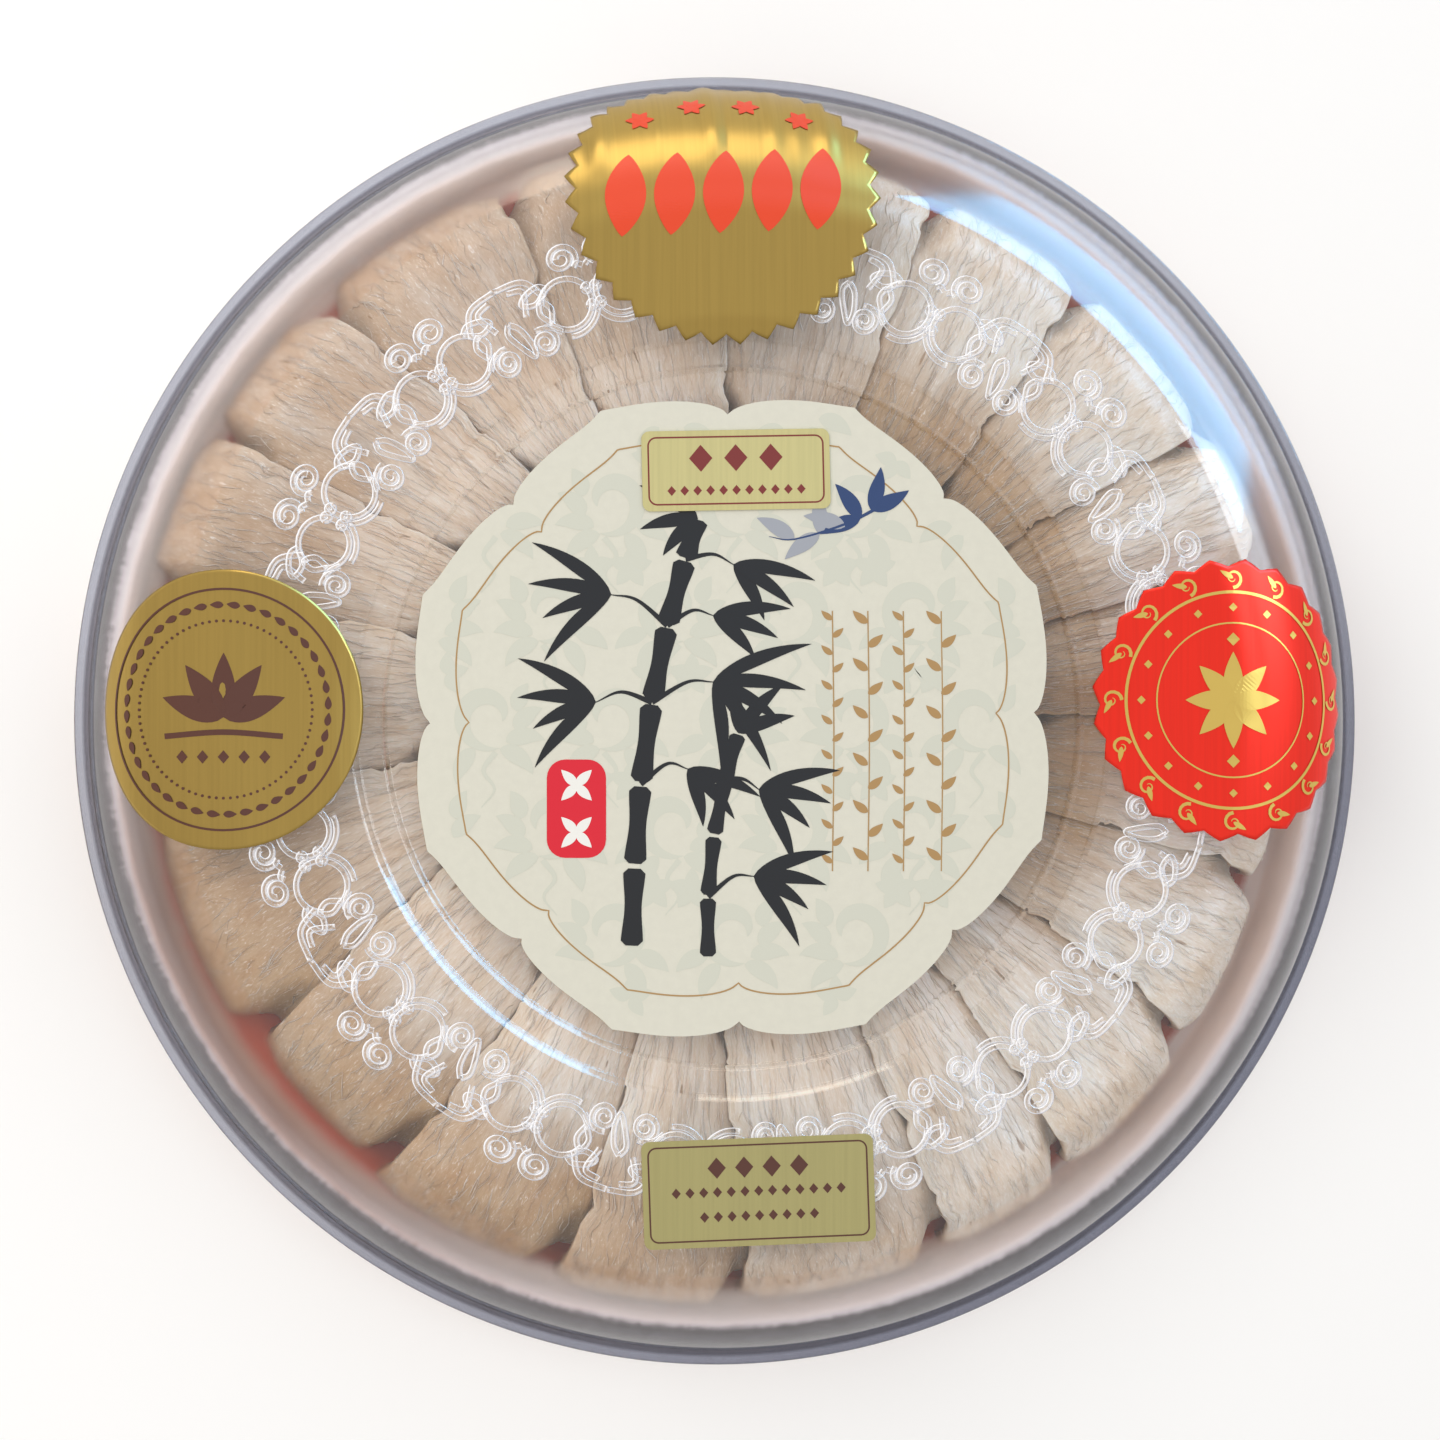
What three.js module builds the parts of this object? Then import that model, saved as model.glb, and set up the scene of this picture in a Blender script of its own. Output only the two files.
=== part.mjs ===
// Edible birds nests in their round clear box: a ring of nests laid like roof tiles on a red liner,
// in a clear base under a clear lid, with a label card and stickers on the lid.
// Millimetres, +Z up. The origin is the middle of the base's underside.
import * as THREE from "three";

// Box
const BOX_RADIUS = 128; // edge of both flanges
const BOX_HEIGHT = 44; // underside of the base to the lid's ring
const WALL = 1.2; // wall thickness of the lid
const TOUCH_GAP = 0.3; // between pieces that rest on each other
const FACETS = 48; // steps round the box

// Base
const FLOOR = 1.6; // thickness of the base's floor
const FLANGE = 1.8; // thickness of each flange
const BASE_TOP = 15.7; // top of the base's flange
const BASE_RADIUS = 121.6; // outside of the wall, under the flange
const BASE_DRAFT = 2.1; // how much the wall leans in towards the floor
const BASE_ROUND = 4; // rounding between wall and floor
const SPIGOT_RADIUS = 123.2; // rib that the lid's wall goes round
const SPIGOT_HEIGHT = 3.6;
const SPIGOT_WALL = 1.4;

// Lid
const LID_RADIUS = 125; // outside, where the shoulder meets the flange
const SHOULDER = 25; // rounding between the ring and the flange
const SUNK_RADIUS = 68; // flat of the sunk centre
const LEDGE_INNER = 68.8; // a narrow ledge goes round the sunk centre
const LEDGE_OUTER = 73.6;
const RING_INNER = 75.4; // inner edge of the raised ring
const SUNK_DEPTH = 2.6; // below the ring
const LEDGE_DEPTH = 1.3;
const SHOULDER_STEPS = 6;

// Liner
const LINER_RADIUS = 115;
const LINER_THICKNESS = 0.6;
const LINER_FACETS = 32;
const STRIP_BOTTOM = 7; // the liner's strip goes round inside the base's wall
const STRIP_TOP = 15.2;

// Nests. Each lies with its free edge on the nest before it and its other long side under the next.
// The pairs are the angles of a free edge at its inner and its outer end, in degrees from +X.
const FREE_EDGES = [
  [0, 2], [16, 17], [32, 31], [46, 51], [67, 68], [89.5, 91], [113, 113],
  [127.5, 135], [148, 151], [164.5, 167], [187, 190], [205.5, 216], [234, 233],
  [254.5, 253.5], [268.5, 272.5], [293, 293.5], [311, 308], [328, 326], [344, 344],
];
const NEST_INNER = 50; // ends of a middling nest, from the box's axis
const NEST_OUTER = 116;
const END_SPREAD = 1.5; // how far a nest's ends differ from a middling one's
const SHORT_ENDS = { 10: 4, 11: 6, 12: 2.5 }; // nests that stop short of the wall, and by how much
const END_ROUND = 11; // length over which an end curves down to the liner
const END_WALL = 2.2; // thickness of an end where it stands on the liner
const CORNER_CUT = 1.6; // how much the outer corner at the free edge is rounded off
const CORNER_SHARE = 0.2; // share of the nest's width that the rounding takes
const TUCK_ANGLE = 6; // how far a nest runs on under the next one
const TUCK_SHORTER = 6.2; // how much shorter both ends are there
const TUCK_FROM = 0.8; // share of the width where the ends begin to draw in
const TUCK_COLUMNS = 0.26; // share of the columns that lie under the next nest
const TUCK_CURVE = 1.6; // bow of the tucked side
const FOOT_ANGLE = 2.2; // width of the tucked side where it stands on the liner
const FOOT_CURVE = 4; // how close to that side the foot begins
const CREST_HEIGHT = 29; // above the liner
const CREST_SPREAD = 1.2;
const CREST_SHARE = 0.38; // place of the crest between two free edges
const SEAM_HEIGHT = 23.5; // of a nest's back where the next one lies on it
const SEAM_GAP = 0.7;
const EDGE_THICKNESS = 2.6;
const EDGE_SHARE = 0.3; // share of the width over which the free edge thickens
const NEST_THICKNESS = 4.2;
const NEST_ROWS = 6;
const NEST_COLUMNS = 6;

// Label and stickers
const LABEL_NOTCH = 58.8; // radius at the notches between its lobes
const FULL_LOBE = { rise: 6.1, curve: 0.45, tip: 0.5 }; // swell beyond the notches, its fullness, and the tip
const FLAT_LOBE = { rise: 5, curve: 0.3, tip: 1.6 }; // the lobes between the full ones
const TIP_CURVE = 8; // sharpness of the tips
const LABEL_TURN = 1; // degrees
const LABEL_UNITS = 8; // pairs of lobes
const LABEL_STEPS = 3; // steps along one lobe
const CARD = 0.5;
const STICKER = 0.3;
const SEAL_LIFT = 0.6; // of the seals over the lid's curves
const SEAL_DIP = 13; // degrees by which a seal goes down from the ring to the ledge
const SEAL_RINGS = 4;
const LABEL_PLATE = { width: 37, height: 15.7, x: 0.5, y: 48.5, turn: 1.3 };
const TIP_PLATE = { width: 45.5, height: 21, x: 4.7, y: -92.5, turn: 2 };
const PLATE_CORNER = 1.6;
const TOP_SEAL = { radius: 31.2, valley: 29, teeth: 36, from_axis: 104, angle: 91.2 };
const LEFT_SEAL = { radius: 27.2, valley: 27.2, teeth: 24, from_axis: 99.7, angle: 179.2 };
const RIGHT_SEAL = { radius: 27.9, valley: 26.3, teeth: 24, from_axis: 98.6, angle: 2.1 };

const radians = THREE.MathUtils.degToRad;
const mix = THREE.MathUtils.lerp;
const NEST_COUNT = FREE_EDGES.length;
const LINER_BOTTOM = FLOOR + TOUCH_GAP;
const LINER_TOP = LINER_BOTTOM + LINER_THICKNESS;
const NEST_FLOOR = LINER_TOP + TOUCH_GAP;
const LID_BOTTOM = BASE_TOP + TOUCH_GAP;
const SUNK_TOP = BOX_HEIGHT - SUNK_DEPTH;
const LABEL_BOTTOM = SUNK_TOP + TOUCH_GAP;

// Points of an arc in a profile, from one angle to another.
function arc(centreX, centreY, radius, from, to, steps) {
  const [start, end] = [radians(from), radians(to)];
  return new THREE.EllipseCurve(centreX, centreY, radius, radius, start, end, to < from).getPoints(steps);
}

// A profile of radius and height turned round the Z axis.
function turned(points) {
  return new THREE.LatheGeometry(points, FACETS).rotateX(Math.PI / 2);
}

const point = (radius, height) => new THREE.Vector2(radius, height);

function baseProfile() {
  const foot = BASE_RADIUS - BASE_DRAFT - BASE_ROUND;
  const under = BASE_TOP - FLANGE;
  const ribTop = BASE_TOP + SPIGOT_HEIGHT;
  const ribInner = SPIGOT_RADIUS - SPIGOT_WALL;
  const innerRound = BASE_ROUND - WALL;
  return [
    point(0, 0),
    ...arc(foot, BASE_ROUND, BASE_ROUND, -90, 0, 2),
    point(BASE_RADIUS, under),
    point(BOX_RADIUS, under),
    point(BOX_RADIUS, BASE_TOP),
    point(SPIGOT_RADIUS, BASE_TOP),
    point(SPIGOT_RADIUS, ribTop),
    point(ribInner, ribTop),
    ...arc(foot, FLOOR + innerRound, innerRound, 0, -90, 3),
    point(0, FLOOR),
  ];
}

// A strip that leans with the inside of the base's wall, as a closed section.
function stripProfile() {
  const [ribTop, ribInner] = [BASE_TOP + SPIGOT_HEIGHT, SPIGOT_RADIUS - SPIGOT_WALL];
  const [footTop, footInner] = [FLOOR + BASE_ROUND - WALL, BASE_RADIUS - BASE_DRAFT - WALL];
  const wallInside = (height) => mix(footInner, ribInner, (height - footTop) / (ribTop - footTop));
  const [bottom, top] = [wallInside(STRIP_BOTTOM) - TOUCH_GAP, wallInside(STRIP_TOP) - TOUCH_GAP];
  return [
    point(bottom, STRIP_BOTTOM),
    point(top, STRIP_TOP),
    point(top - LINER_THICKNESS, STRIP_TOP),
    point(bottom - LINER_THICKNESS, STRIP_BOTTOM),
    point(bottom, STRIP_BOTTOM),
  ];
}

function lidProfile() {
  const centre = LID_RADIUS - SHOULDER;
  const springing = BOX_HEIGHT - SHOULDER;
  const flangeTop = LID_BOTTOM + FLANGE;
  const inner = LID_RADIUS - WALL;
  return [
    point(0, SUNK_TOP - WALL),
    point(SUNK_RADIUS, SUNK_TOP - WALL),
    point(LEDGE_INNER, BOX_HEIGHT - LEDGE_DEPTH - WALL),
    point(LEDGE_OUTER, BOX_HEIGHT - LEDGE_DEPTH - WALL),
    point(RING_INNER, BOX_HEIGHT - WALL),
    ...arc(centre, springing, SHOULDER - WALL, 90, 0, SHOULDER_STEPS),
    point(inner, LID_BOTTOM),
    point(BOX_RADIUS, LID_BOTTOM),
    point(BOX_RADIUS, flangeTop),
    point(LID_RADIUS, flangeTop),
    ...arc(centre, springing, SHOULDER, 0, 90, SHOULDER_STEPS),
    point(RING_INNER, BOX_HEIGHT),
    point(LEDGE_OUTER, BOX_HEIGHT - LEDGE_DEPTH),
    point(LEDGE_INNER, BOX_HEIGHT - LEDGE_DEPTH),
    point(SUNK_RADIUS, SUNK_TOP),
    point(0, SUNK_TOP),
  ];
}

// A place on the lid where a seal lies, by its distance along the lid, and the way out of the lid there.
// On the raised ring that distance is the radius. Inside it a seal goes straight down to the ledge.
function onLid(distance) {
  const centre = LID_RADIUS - SHOULDER;
  if (distance <= RING_INNER) {
    const dip = radians(SEAL_DIP);
    const back = RING_INNER - distance;
    const out = point(-Math.sin(dip), Math.cos(dip));
    return { radius: RING_INNER - back * out.y, height: BOX_HEIGHT + back * out.x, out };
  }
  if (distance <= centre) {
    return { radius: distance, height: BOX_HEIGHT, out: point(0, 1) };
  }
  const bend = (distance - centre) / SHOULDER;
  const out = point(Math.sin(bend), Math.cos(bend));
  return { radius: centre + SHOULDER * out.x, height: BOX_HEIGHT - SHOULDER + SHOULDER * out.y, out };
}

// A closed solid between two sheets of points. Each sheet is rows of points, and the sheets match.
function betweenSheets(upper, lower) {
  const rows = upper.length;
  const columns = upper[0].length;
  const positions = [...upper.flat(), ...lower.flat()].flatMap((p) => p.toArray());
  const top = (row, column) => row * columns + column;
  const bottom = (row, column) => rows * columns + top(row, column);
  const index = [];
  const quad = (a, b, c, d) => index.push(a, b, c, a, c, d);
  for (let row = 0; row + 1 < rows; row++) {
    for (let column = 0; column + 1 < columns; column++) {
      const [r, c] = [row + 1, column + 1];
      quad(top(row, column), top(r, column), top(r, c), top(row, c));
      quad(bottom(row, column), bottom(row, c), bottom(r, c), bottom(r, column));
    }
  }
  for (let row = 0; row + 1 < rows; row++) {
    const [r, last] = [row + 1, columns - 1];
    quad(top(row, 0), bottom(row, 0), bottom(r, 0), top(r, 0));
    quad(top(row, last), top(r, last), bottom(r, last), bottom(row, last));
  }
  for (let column = 0; column + 1 < columns; column++) {
    const [c, last] = [column + 1, rows - 1];
    quad(top(0, column), top(0, c), bottom(0, c), bottom(0, column));
    quad(top(last, column), bottom(last, column), bottom(last, c), top(last, c));
  }
  return new THREE.BufferGeometry()
    .setAttribute("position", new THREE.Float32BufferAttribute(positions, 3))
    .setIndex(index);
}

// A steady number from -1 to 1 for the natural spread between nests.
const spread = (nest, trait) => Math.sin(12.9898 * (nest + 1) + 78.233 * trait);

// Angle of a nest's free edge at a radius, in degrees, with the count running on round the ring.
function edgeAngle(nest, radius) {
  const [inner, outer] = FREE_EDGES[nest % NEST_COUNT];
  const share = (radius - NEST_INNER) / (NEST_OUTER - NEST_INNER);
  return mix(inner, outer, share) + 360 * Math.floor(nest / NEST_COUNT);
}

const shortBy = (nest) => SHORT_ENDS[nest % NEST_COUNT] ?? 0;
const outerEnd = (nest) => NEST_OUTER - shortBy(nest) + END_SPREAD * spread(nest % NEST_COUNT, 1);
const innerEnd = (nest) => NEST_INNER + END_SPREAD * spread(nest % NEST_COUNT, 2);

// Inner and outer end of a nest. Across goes from 0 at its free edge to 1 at the next one's, and beyond that.
function nestEnds(nest, across) {
  const tucked = THREE.MathUtils.smoothstep(across, TUCK_FROM, 1);
  const corner = Math.max(0, 1 - across / CORNER_SHARE);
  const tuckedInner = Math.max(innerEnd(nest), innerEnd(nest + 1)) + TUCK_SHORTER;
  const tuckedOuter = Math.min(outerEnd(nest), outerEnd(nest + 1)) - TUCK_SHORTER;
  const inner = mix(innerEnd(nest), tuckedInner, tucked);
  const outer = mix(outerEnd(nest), tuckedOuter, tucked);
  return [inner, outer - CORNER_CUT * corner ** 2];
}

// Height of a nest's back over the liner, across it, clear of its ends.
function archHeight(nest, across, tuckShare) {
  const edge = SEAM_HEIGHT + SEAM_GAP + EDGE_THICKNESS;
  const crest = CREST_HEIGHT + CREST_SPREAD * spread(nest, 3);
  if (across <= CREST_SHARE) {
    const climb = across / CREST_SHARE;
    return mix(edge, crest, Math.sin((Math.PI / 2) * climb));
  }
  if (across <= 1) {
    const fall = (across - CREST_SHARE) / (1 - CREST_SHARE);
    return mix(SEAM_HEIGHT, crest, Math.cos((Math.PI / 2) * fall));
  }
  return SEAM_HEIGHT * (1 - tuckShare ** TUCK_CURVE);
}

// How far the back has risen to its full height, by the distance from an end.
function endRise(distance) {
  const share = THREE.MathUtils.clamp(distance / END_ROUND, 0, 1);
  return Math.sqrt(1 - (1 - share) ** 2);
}

// A point of a nest's back, or of its hollow side, by shares along it and across it.
function nestPoint(nest, along, acrossAll, hollow) {
  const across = Math.min(acrossAll / (1 - TUCK_COLUMNS), 1);
  const tuckShare = Math.max(0, (acrossAll - 1 + TUCK_COLUMNS) / TUCK_COLUMNS);
  const beyond = across + tuckShare;
  let [inner, outer] = nestEnds(nest, beyond);
  if (hollow) {
    [inner, outer] = [inner + END_WALL, outer - END_WALL];
  }
  const radius = mix(inner, outer, (1 - Math.cos(Math.PI * along)) / 2);
  const start = edgeAngle(nest, radius);
  const pitch = edgeAngle(nest + 1, radius) - start;
  let angle = start + pitch * across + TUCK_ANGLE * tuckShare;
  let arch = archHeight(nest, beyond, tuckShare);
  if (hollow) {
    angle -= FOOT_ANGLE * acrossAll ** FOOT_CURVE;
    const thickness = mix(EDGE_THICKNESS, NEST_THICKNESS, Math.min(1, across / EDGE_SHARE));
    arch = Math.max(0, arch - thickness);
  }
  const turn = radians(angle);
  const height = NEST_FLOOR + arch * endRise(radius - inner) * endRise(outer - radius);
  return new THREE.Vector3(radius * Math.cos(turn), radius * Math.sin(turn), height);
}

function nestGeometry(nest) {
  const sheet = (hollow) =>
    Array.from({ length: NEST_ROWS + 1 }, (_, row) =>
      Array.from({ length: NEST_COLUMNS + 1 }, (_, column) =>
        nestPoint(nest, row / NEST_ROWS, column / NEST_COLUMNS, hollow),
      ),
    );
  return betweenSheets(sheet(false), sheet(true));
}

// The label's edge: pairs of lobes that meet in notches, with pointed tips between the pairs.
function labelGeometry() {
  const halfUnit = Math.PI / LABEL_UNITS;
  const outline = [];
  for (let unit = 0; unit < LABEL_UNITS; unit++) {
    const { rise, curve, tip } = unit % 2 === 0 ? FULL_LOBE : FLAT_LOBE;
    for (let step = -LABEL_STEPS; step < LABEL_STEPS; step++) {
      const share = step / LABEL_STEPS;
      const reach = Math.abs(share);
      const radius = LABEL_NOTCH + rise * reach ** curve + tip * reach ** TIP_CURVE;
      const angle = radians(LABEL_TURN) + halfUnit * (2 * unit + share);
      outline.push(point(radius * Math.cos(angle), radius * Math.sin(angle)));
    }
  }
  const shape = new THREE.Shape(outline);
  return new THREE.ExtrudeGeometry(shape, { depth: CARD, bevelEnabled: false });
}

// A flat sticker with rounded corners, round its own middle.
function plateGeometry({ width, height }) {
  const [x, y, c] = [width / 2, height / 2, PLATE_CORNER];
  const shape = new THREE.Shape()
    .absarc(x - c, y - c, c, 0, Math.PI / 2)
    .absarc(c - x, y - c, c, Math.PI / 2, Math.PI)
    .absarc(c - x, c - y, c, Math.PI, 1.5 * Math.PI)
    .absarc(x - c, c - y, c, 1.5 * Math.PI, 2 * Math.PI)
    .closePath();
  return new THREE.ExtrudeGeometry(shape, { depth: STICKER, bevelEnabled: false, curveSegments: 3 });
}

// A round sticker laid over the lid's ring and shoulder. Its edge has a valley and a tip for each tooth.
function sealGeometry({ radius, valley, teeth, from_axis, angle }) {
  const laid = (reach, turn, lift) => {
    const x = from_axis + reach * Math.cos(turn);
    const y = reach * Math.sin(turn);
    const place = onLid(Math.hypot(x, y));
    const r = place.radius + lift * place.out.x;
    const around = radians(angle) + Math.atan2(y, x);
    return new THREE.Vector3(r * Math.cos(around), r * Math.sin(around), place.height + lift * place.out.y);
  };
  const layer = (lift) => {
    const points = [laid(0, 0, lift)];
    for (let ring = 1; ring < SEAL_RINGS; ring++) {
      for (let tooth = 0; tooth < teeth; tooth++) {
        points.push(laid((valley * ring) / SEAL_RINGS, (2 * Math.PI * tooth) / teeth, lift));
      }
    }
    for (let step = 0; step < 2 * teeth; step++) {
      points.push(laid(step % 2 === 0 ? valley : radius, (Math.PI * step) / teeth, lift));
    }
    return points;
  };
  const lower = layer(SEAL_LIFT);
  const upper = layer(SEAL_LIFT + STICKER);
  const inRing = (ring, tooth) => 1 + (ring - 1) * teeth + (tooth % teeth);
  const onEdge = (step) => 1 + (SEAL_RINGS - 1) * teeth + (step % (2 * teeth));
  const faces = [];
  for (let tooth = 0; tooth < teeth; tooth++) {
    faces.push([0, inRing(1, tooth), inRing(1, tooth + 1)]);
    for (let ring = 1; ring + 1 < SEAL_RINGS; ring++) {
      const [a, b] = [inRing(ring, tooth), inRing(ring + 1, tooth)];
      const [c, d] = [inRing(ring + 1, tooth + 1), inRing(ring, tooth + 1)];
      faces.push([a, b, c], [a, c, d]);
    }
    const [a, b] = [inRing(SEAL_RINGS - 1, tooth), inRing(SEAL_RINGS - 1, tooth + 1)];
    const [valleyPoint, tip, nextValley] = [0, 1, 2].map((k) => onEdge(2 * tooth + k));
    faces.push([a, valleyPoint, tip], [a, tip, b], [b, tip, nextValley]);
  }
  const under = upper.length;
  const index = faces.flatMap(([a, b, c]) => [a, b, c, under + a, under + c, under + b]);
  for (let step = 0; step < 2 * teeth; step++) {
    const [a, b] = [onEdge(step), onEdge(step + 1)];
    index.push(a, under + a, under + b, a, under + b, b);
  }
  const positions = [...upper, ...lower].flatMap((p) => p.toArray());
  return new THREE.BufferGeometry()
    .setAttribute("position", new THREE.Float32BufferAttribute(positions, 3))
    .setIndex(index);
}

function finish(color, roughness, metalness = 0) {
  return new THREE.MeshStandardMaterial({ color, roughness, metalness });
}

function clearPlastic() {
  const material = finish(0xdfe5ea, 0.05);
  material.transparent = true;
  material.opacity = 0.3;
  return material;
}

const NEST_COLOUR = 0xdcc3a0;
const LINER_COLOUR = 0xb23a22;
const CARD_COLOUR = 0xe9e8d2;
const GOLD_COLOUR = 0xb79a4c;
const RED_COLOUR = 0xd91414;

const group = new THREE.Group();

function add(name, geometry, material) {
  const mesh = new THREE.Mesh(geometry, material);
  mesh.name = name;
  group.add(mesh);
  return mesh;
}

function addPlate(name, plate, height) {
  const mesh = add(name, plateGeometry(plate), finish(GOLD_COLOUR, 0.35, 0.8));
  mesh.position.set(plate.x, plate.y, height);
  mesh.rotation.z = radians(plate.turn);
}

add("base", turned(baseProfile()), clearPlastic());

const disc = new THREE.CylinderGeometry(LINER_RADIUS, LINER_RADIUS, LINER_THICKNESS, LINER_FACETS);
const liner = add("liner", disc.rotateX(Math.PI / 2), finish(LINER_COLOUR, 0.8));
liner.position.z = (LINER_BOTTOM + LINER_TOP) / 2;
add("liner_strip", turned(stripProfile()), finish(LINER_COLOUR, 0.8));

for (let nest = 0; nest < NEST_COUNT; nest++) {
  add(`nest_${String(nest + 1).padStart(2, "0")}`, nestGeometry(nest), finish(NEST_COLOUR, 0.6));
}

add("lid", turned(lidProfile()), clearPlastic());
add("label", labelGeometry(), finish(CARD_COLOUR, 0.5)).position.z = LABEL_BOTTOM;
addPlate("label_plate", LABEL_PLATE, LABEL_BOTTOM + CARD + TOUCH_GAP);
addPlate("tip_plate", TIP_PLATE, BOX_HEIGHT + TOUCH_GAP);
add("top_seal", sealGeometry(TOP_SEAL), finish(GOLD_COLOUR, 0.3, 0.9));
add("left_seal", sealGeometry(LEFT_SEAL), finish(GOLD_COLOUR, 0.3, 0.9));
add("right_seal", sealGeometry(RIGHT_SEAL), finish(RED_COLOUR, 0.2));

export default group;
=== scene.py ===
"""Looks of the boxed edible birds nests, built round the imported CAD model.

Lengths are in millimetres until a mesh is made, and angles are in degrees unless a name says otherwise.
The sizes of the box, the nests, the label and the stickers are those of the CAD model. The few that differ
from it, so that the fine mesh follows the photo, have a heading of their own.
"""
import math

import bpy
import numpy as np
from mathutils import Matrix, Vector
from mathutils.geometry import tessellate_polygon


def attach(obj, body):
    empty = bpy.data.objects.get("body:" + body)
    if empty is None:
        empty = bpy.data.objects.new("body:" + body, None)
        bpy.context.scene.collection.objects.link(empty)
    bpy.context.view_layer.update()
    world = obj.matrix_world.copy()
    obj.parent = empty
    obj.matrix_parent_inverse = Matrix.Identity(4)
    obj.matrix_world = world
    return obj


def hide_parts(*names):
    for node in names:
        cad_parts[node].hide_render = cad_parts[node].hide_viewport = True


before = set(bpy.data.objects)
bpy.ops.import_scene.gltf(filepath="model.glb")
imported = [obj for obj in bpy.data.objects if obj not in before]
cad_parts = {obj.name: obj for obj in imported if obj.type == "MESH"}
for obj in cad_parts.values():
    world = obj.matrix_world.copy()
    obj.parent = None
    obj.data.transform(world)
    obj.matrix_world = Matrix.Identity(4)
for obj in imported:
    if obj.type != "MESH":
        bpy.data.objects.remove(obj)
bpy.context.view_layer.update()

# Box
BOX_RADIUS = 128  # edge of both flanges
BOX_HEIGHT = 44  # underside of the base to the lid's ring
WALL = 1.2
TOUCH_GAP = 0.3  # between pieces that rest on each other
FLOOR = 1.6
FLANGE = 1.8
BASE_TOP = 15.7
BASE_RADIUS = 121.6
BASE_DRAFT = 2.1  # how much the wall leans in towards the floor
BASE_ROUND = 4
SPIGOT_RADIUS = 123.2  # rib that the lid's wall goes round
SPIGOT_HEIGHT = 3.6
SPIGOT_WALL = 1.4
LID_RADIUS = 125
LID_BOTTOM = BASE_TOP + TOUCH_GAP
SHOULDER = 25  # rounding between the ring and the flange
SHOULDER_CENTRE = LID_RADIUS - SHOULDER
LEDGE_OUTER = 73.6  # a narrow ledge goes round the sunk centre
RING_INNER = 75.4  # inner edge of the raised ring
SUNK_DEPTH = 2.6
LEDGE_DEPTH = 1.3
SUNK_TOP = BOX_HEIGHT - SUNK_DEPTH
LEDGE_TOP = BOX_HEIGHT - LEDGE_DEPTH

# Liner and nests
LINER_BOTTOM = FLOOR + TOUCH_GAP
LINER_CARD = 0.6
NEST_FLOOR = LINER_BOTTOM + LINER_CARD + TOUCH_GAP
FREE_EDGES = [  # angle of each nest's free edge at the inner end and at the outer end
    (0, 2), (16, 17), (32, 31), (46, 51), (67, 68), (89.5, 91), (113, 113),
    (127.5, 135), (148, 151), (164.5, 167), (187, 190), (205.5, 216), (234, 233),
    (254.5, 253.5), (268.5, 272.5), (293, 293.5), (311, 308), (328, 326), (344, 344),
]
NEST_COUNT = len(FREE_EDGES)
NEST_INNER = 50
NEST_OUTER = 116
END_SPREAD = 1.5  # how far a nest's ends differ from a middling one's
SHORT_ENDS = {10: 4, 11: 6, 12: 2.5}  # nests that stop short of the wall, and by how much
END_ROUND = 11
END_WALL = 2.2
CORNER_CUT = 1.6
CORNER_SHARE = 0.2
TUCK_ANGLE = 6  # how far a nest runs on under the next one
TUCK_SHORTER = 6.2
TUCK_FROM = 0.8
TUCK_COLUMNS = 0.26  # share of the columns that lie under the next nest
TUCK_CURVE = 1.6
FOOT_ANGLE = 2.2
FOOT_CURVE = 4
CREST_HEIGHT = 29
CREST_SPREAD = 1.2
CREST_SHARE = 0.38
EDGE_SHARE = 0.3
NEST_THICKNESS = 4.2

# Label and stickers
LABEL_NOTCH = 58.8
FULL_LOBE = {"rise": 6.1, "curve": 0.45, "tip": 0.5}
FLAT_LOBE = {"rise": 5, "curve": 0.3, "tip": 1.6}
TIP_CURVE = 8
LABEL_TURN = 1
LABEL_UNITS = 8
CARD = 0.5
LABEL_PLATE = {"width": 37, "height": 15.7, "x": 0.5, "y": 48.5, "turn": 1.3}
TIP_PLATE = {"width": 45.5, "height": 21, "x": 4.7, "y": -92.5, "turn": 2}
PLATE_CORNER = 1.6
SEAL_DIP = 13
TOP_SEAL = {"radius": 31.2, "valley": 29, "teeth": 36, "from_axis": 104, "angle": 91.2}
LEFT_SEAL = {"radius": 27.2, "valley": 27.2, "teeth": 24, "from_axis": 99.7, "angle": 179.2}
RIGHT_SEAL = {"radius": 27.9, "valley": 26.3, "teeth": 24, "from_axis": 98.6, "angle": 2.1}

# Values that differ from the CAD model
SUNK_RADIUS = 67.8
LEDGE_INNER = 69.1
SEAM_HEIGHT = 26.3  # of a nest's back where the next one lies on it
SEAM_GAP = 0.2
EDGE_THICKNESS = 1.3
LABEL_GAP = 0.1
LABEL_BOTTOM = SUNK_TOP + LABEL_GAP
STICKER = 0.25
NEST_ROWS = 48
NEST_COLUMNS = 120
SEAL_RINGS = 44

# Fine shapes
ROUND_STEPS = 256
LINER_TOP = 6.8  # top of the liner's turned up edge
LINER_LEAN = 0.235
MIDDLE_RADIUS = 85  # where a nest's width is measured
NEST_LENGTH = 80  # of its texture, which runs along the strands
RIDGE_RISE = 0.2
RIDGES = [(0.5, 3.4, 16), (0.3, 1.5, 8), (0.25, 0.7, 4)]  # share, width and length of the nests' ridges
EDGE_WEAR = 0.6
STRANDS = 460  # on each nest
STRAND_STEPS = 5
LAYER_STEP = 200  # from one nest's texture to the next one's
SEED = 7
PRINT = 0.03
PRINT_STEP = 0.0004  # keeps overlapping prints apart
PRINT_LEVELS = 61
STICKER_LIFT = 0.06
SEAL_PRINT_LIFT = 0.1  # keeps the prints clear of the creases
TOP_CREASE = 0.5
CREASE_FROM = 8  # beyond the shoulder's start
CREASE_FULL = 17
ORNAMENT_RADIUS = 87
ORNAMENT_REPEATS = 16
ORNAMENT_TURN = 18.5
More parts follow.
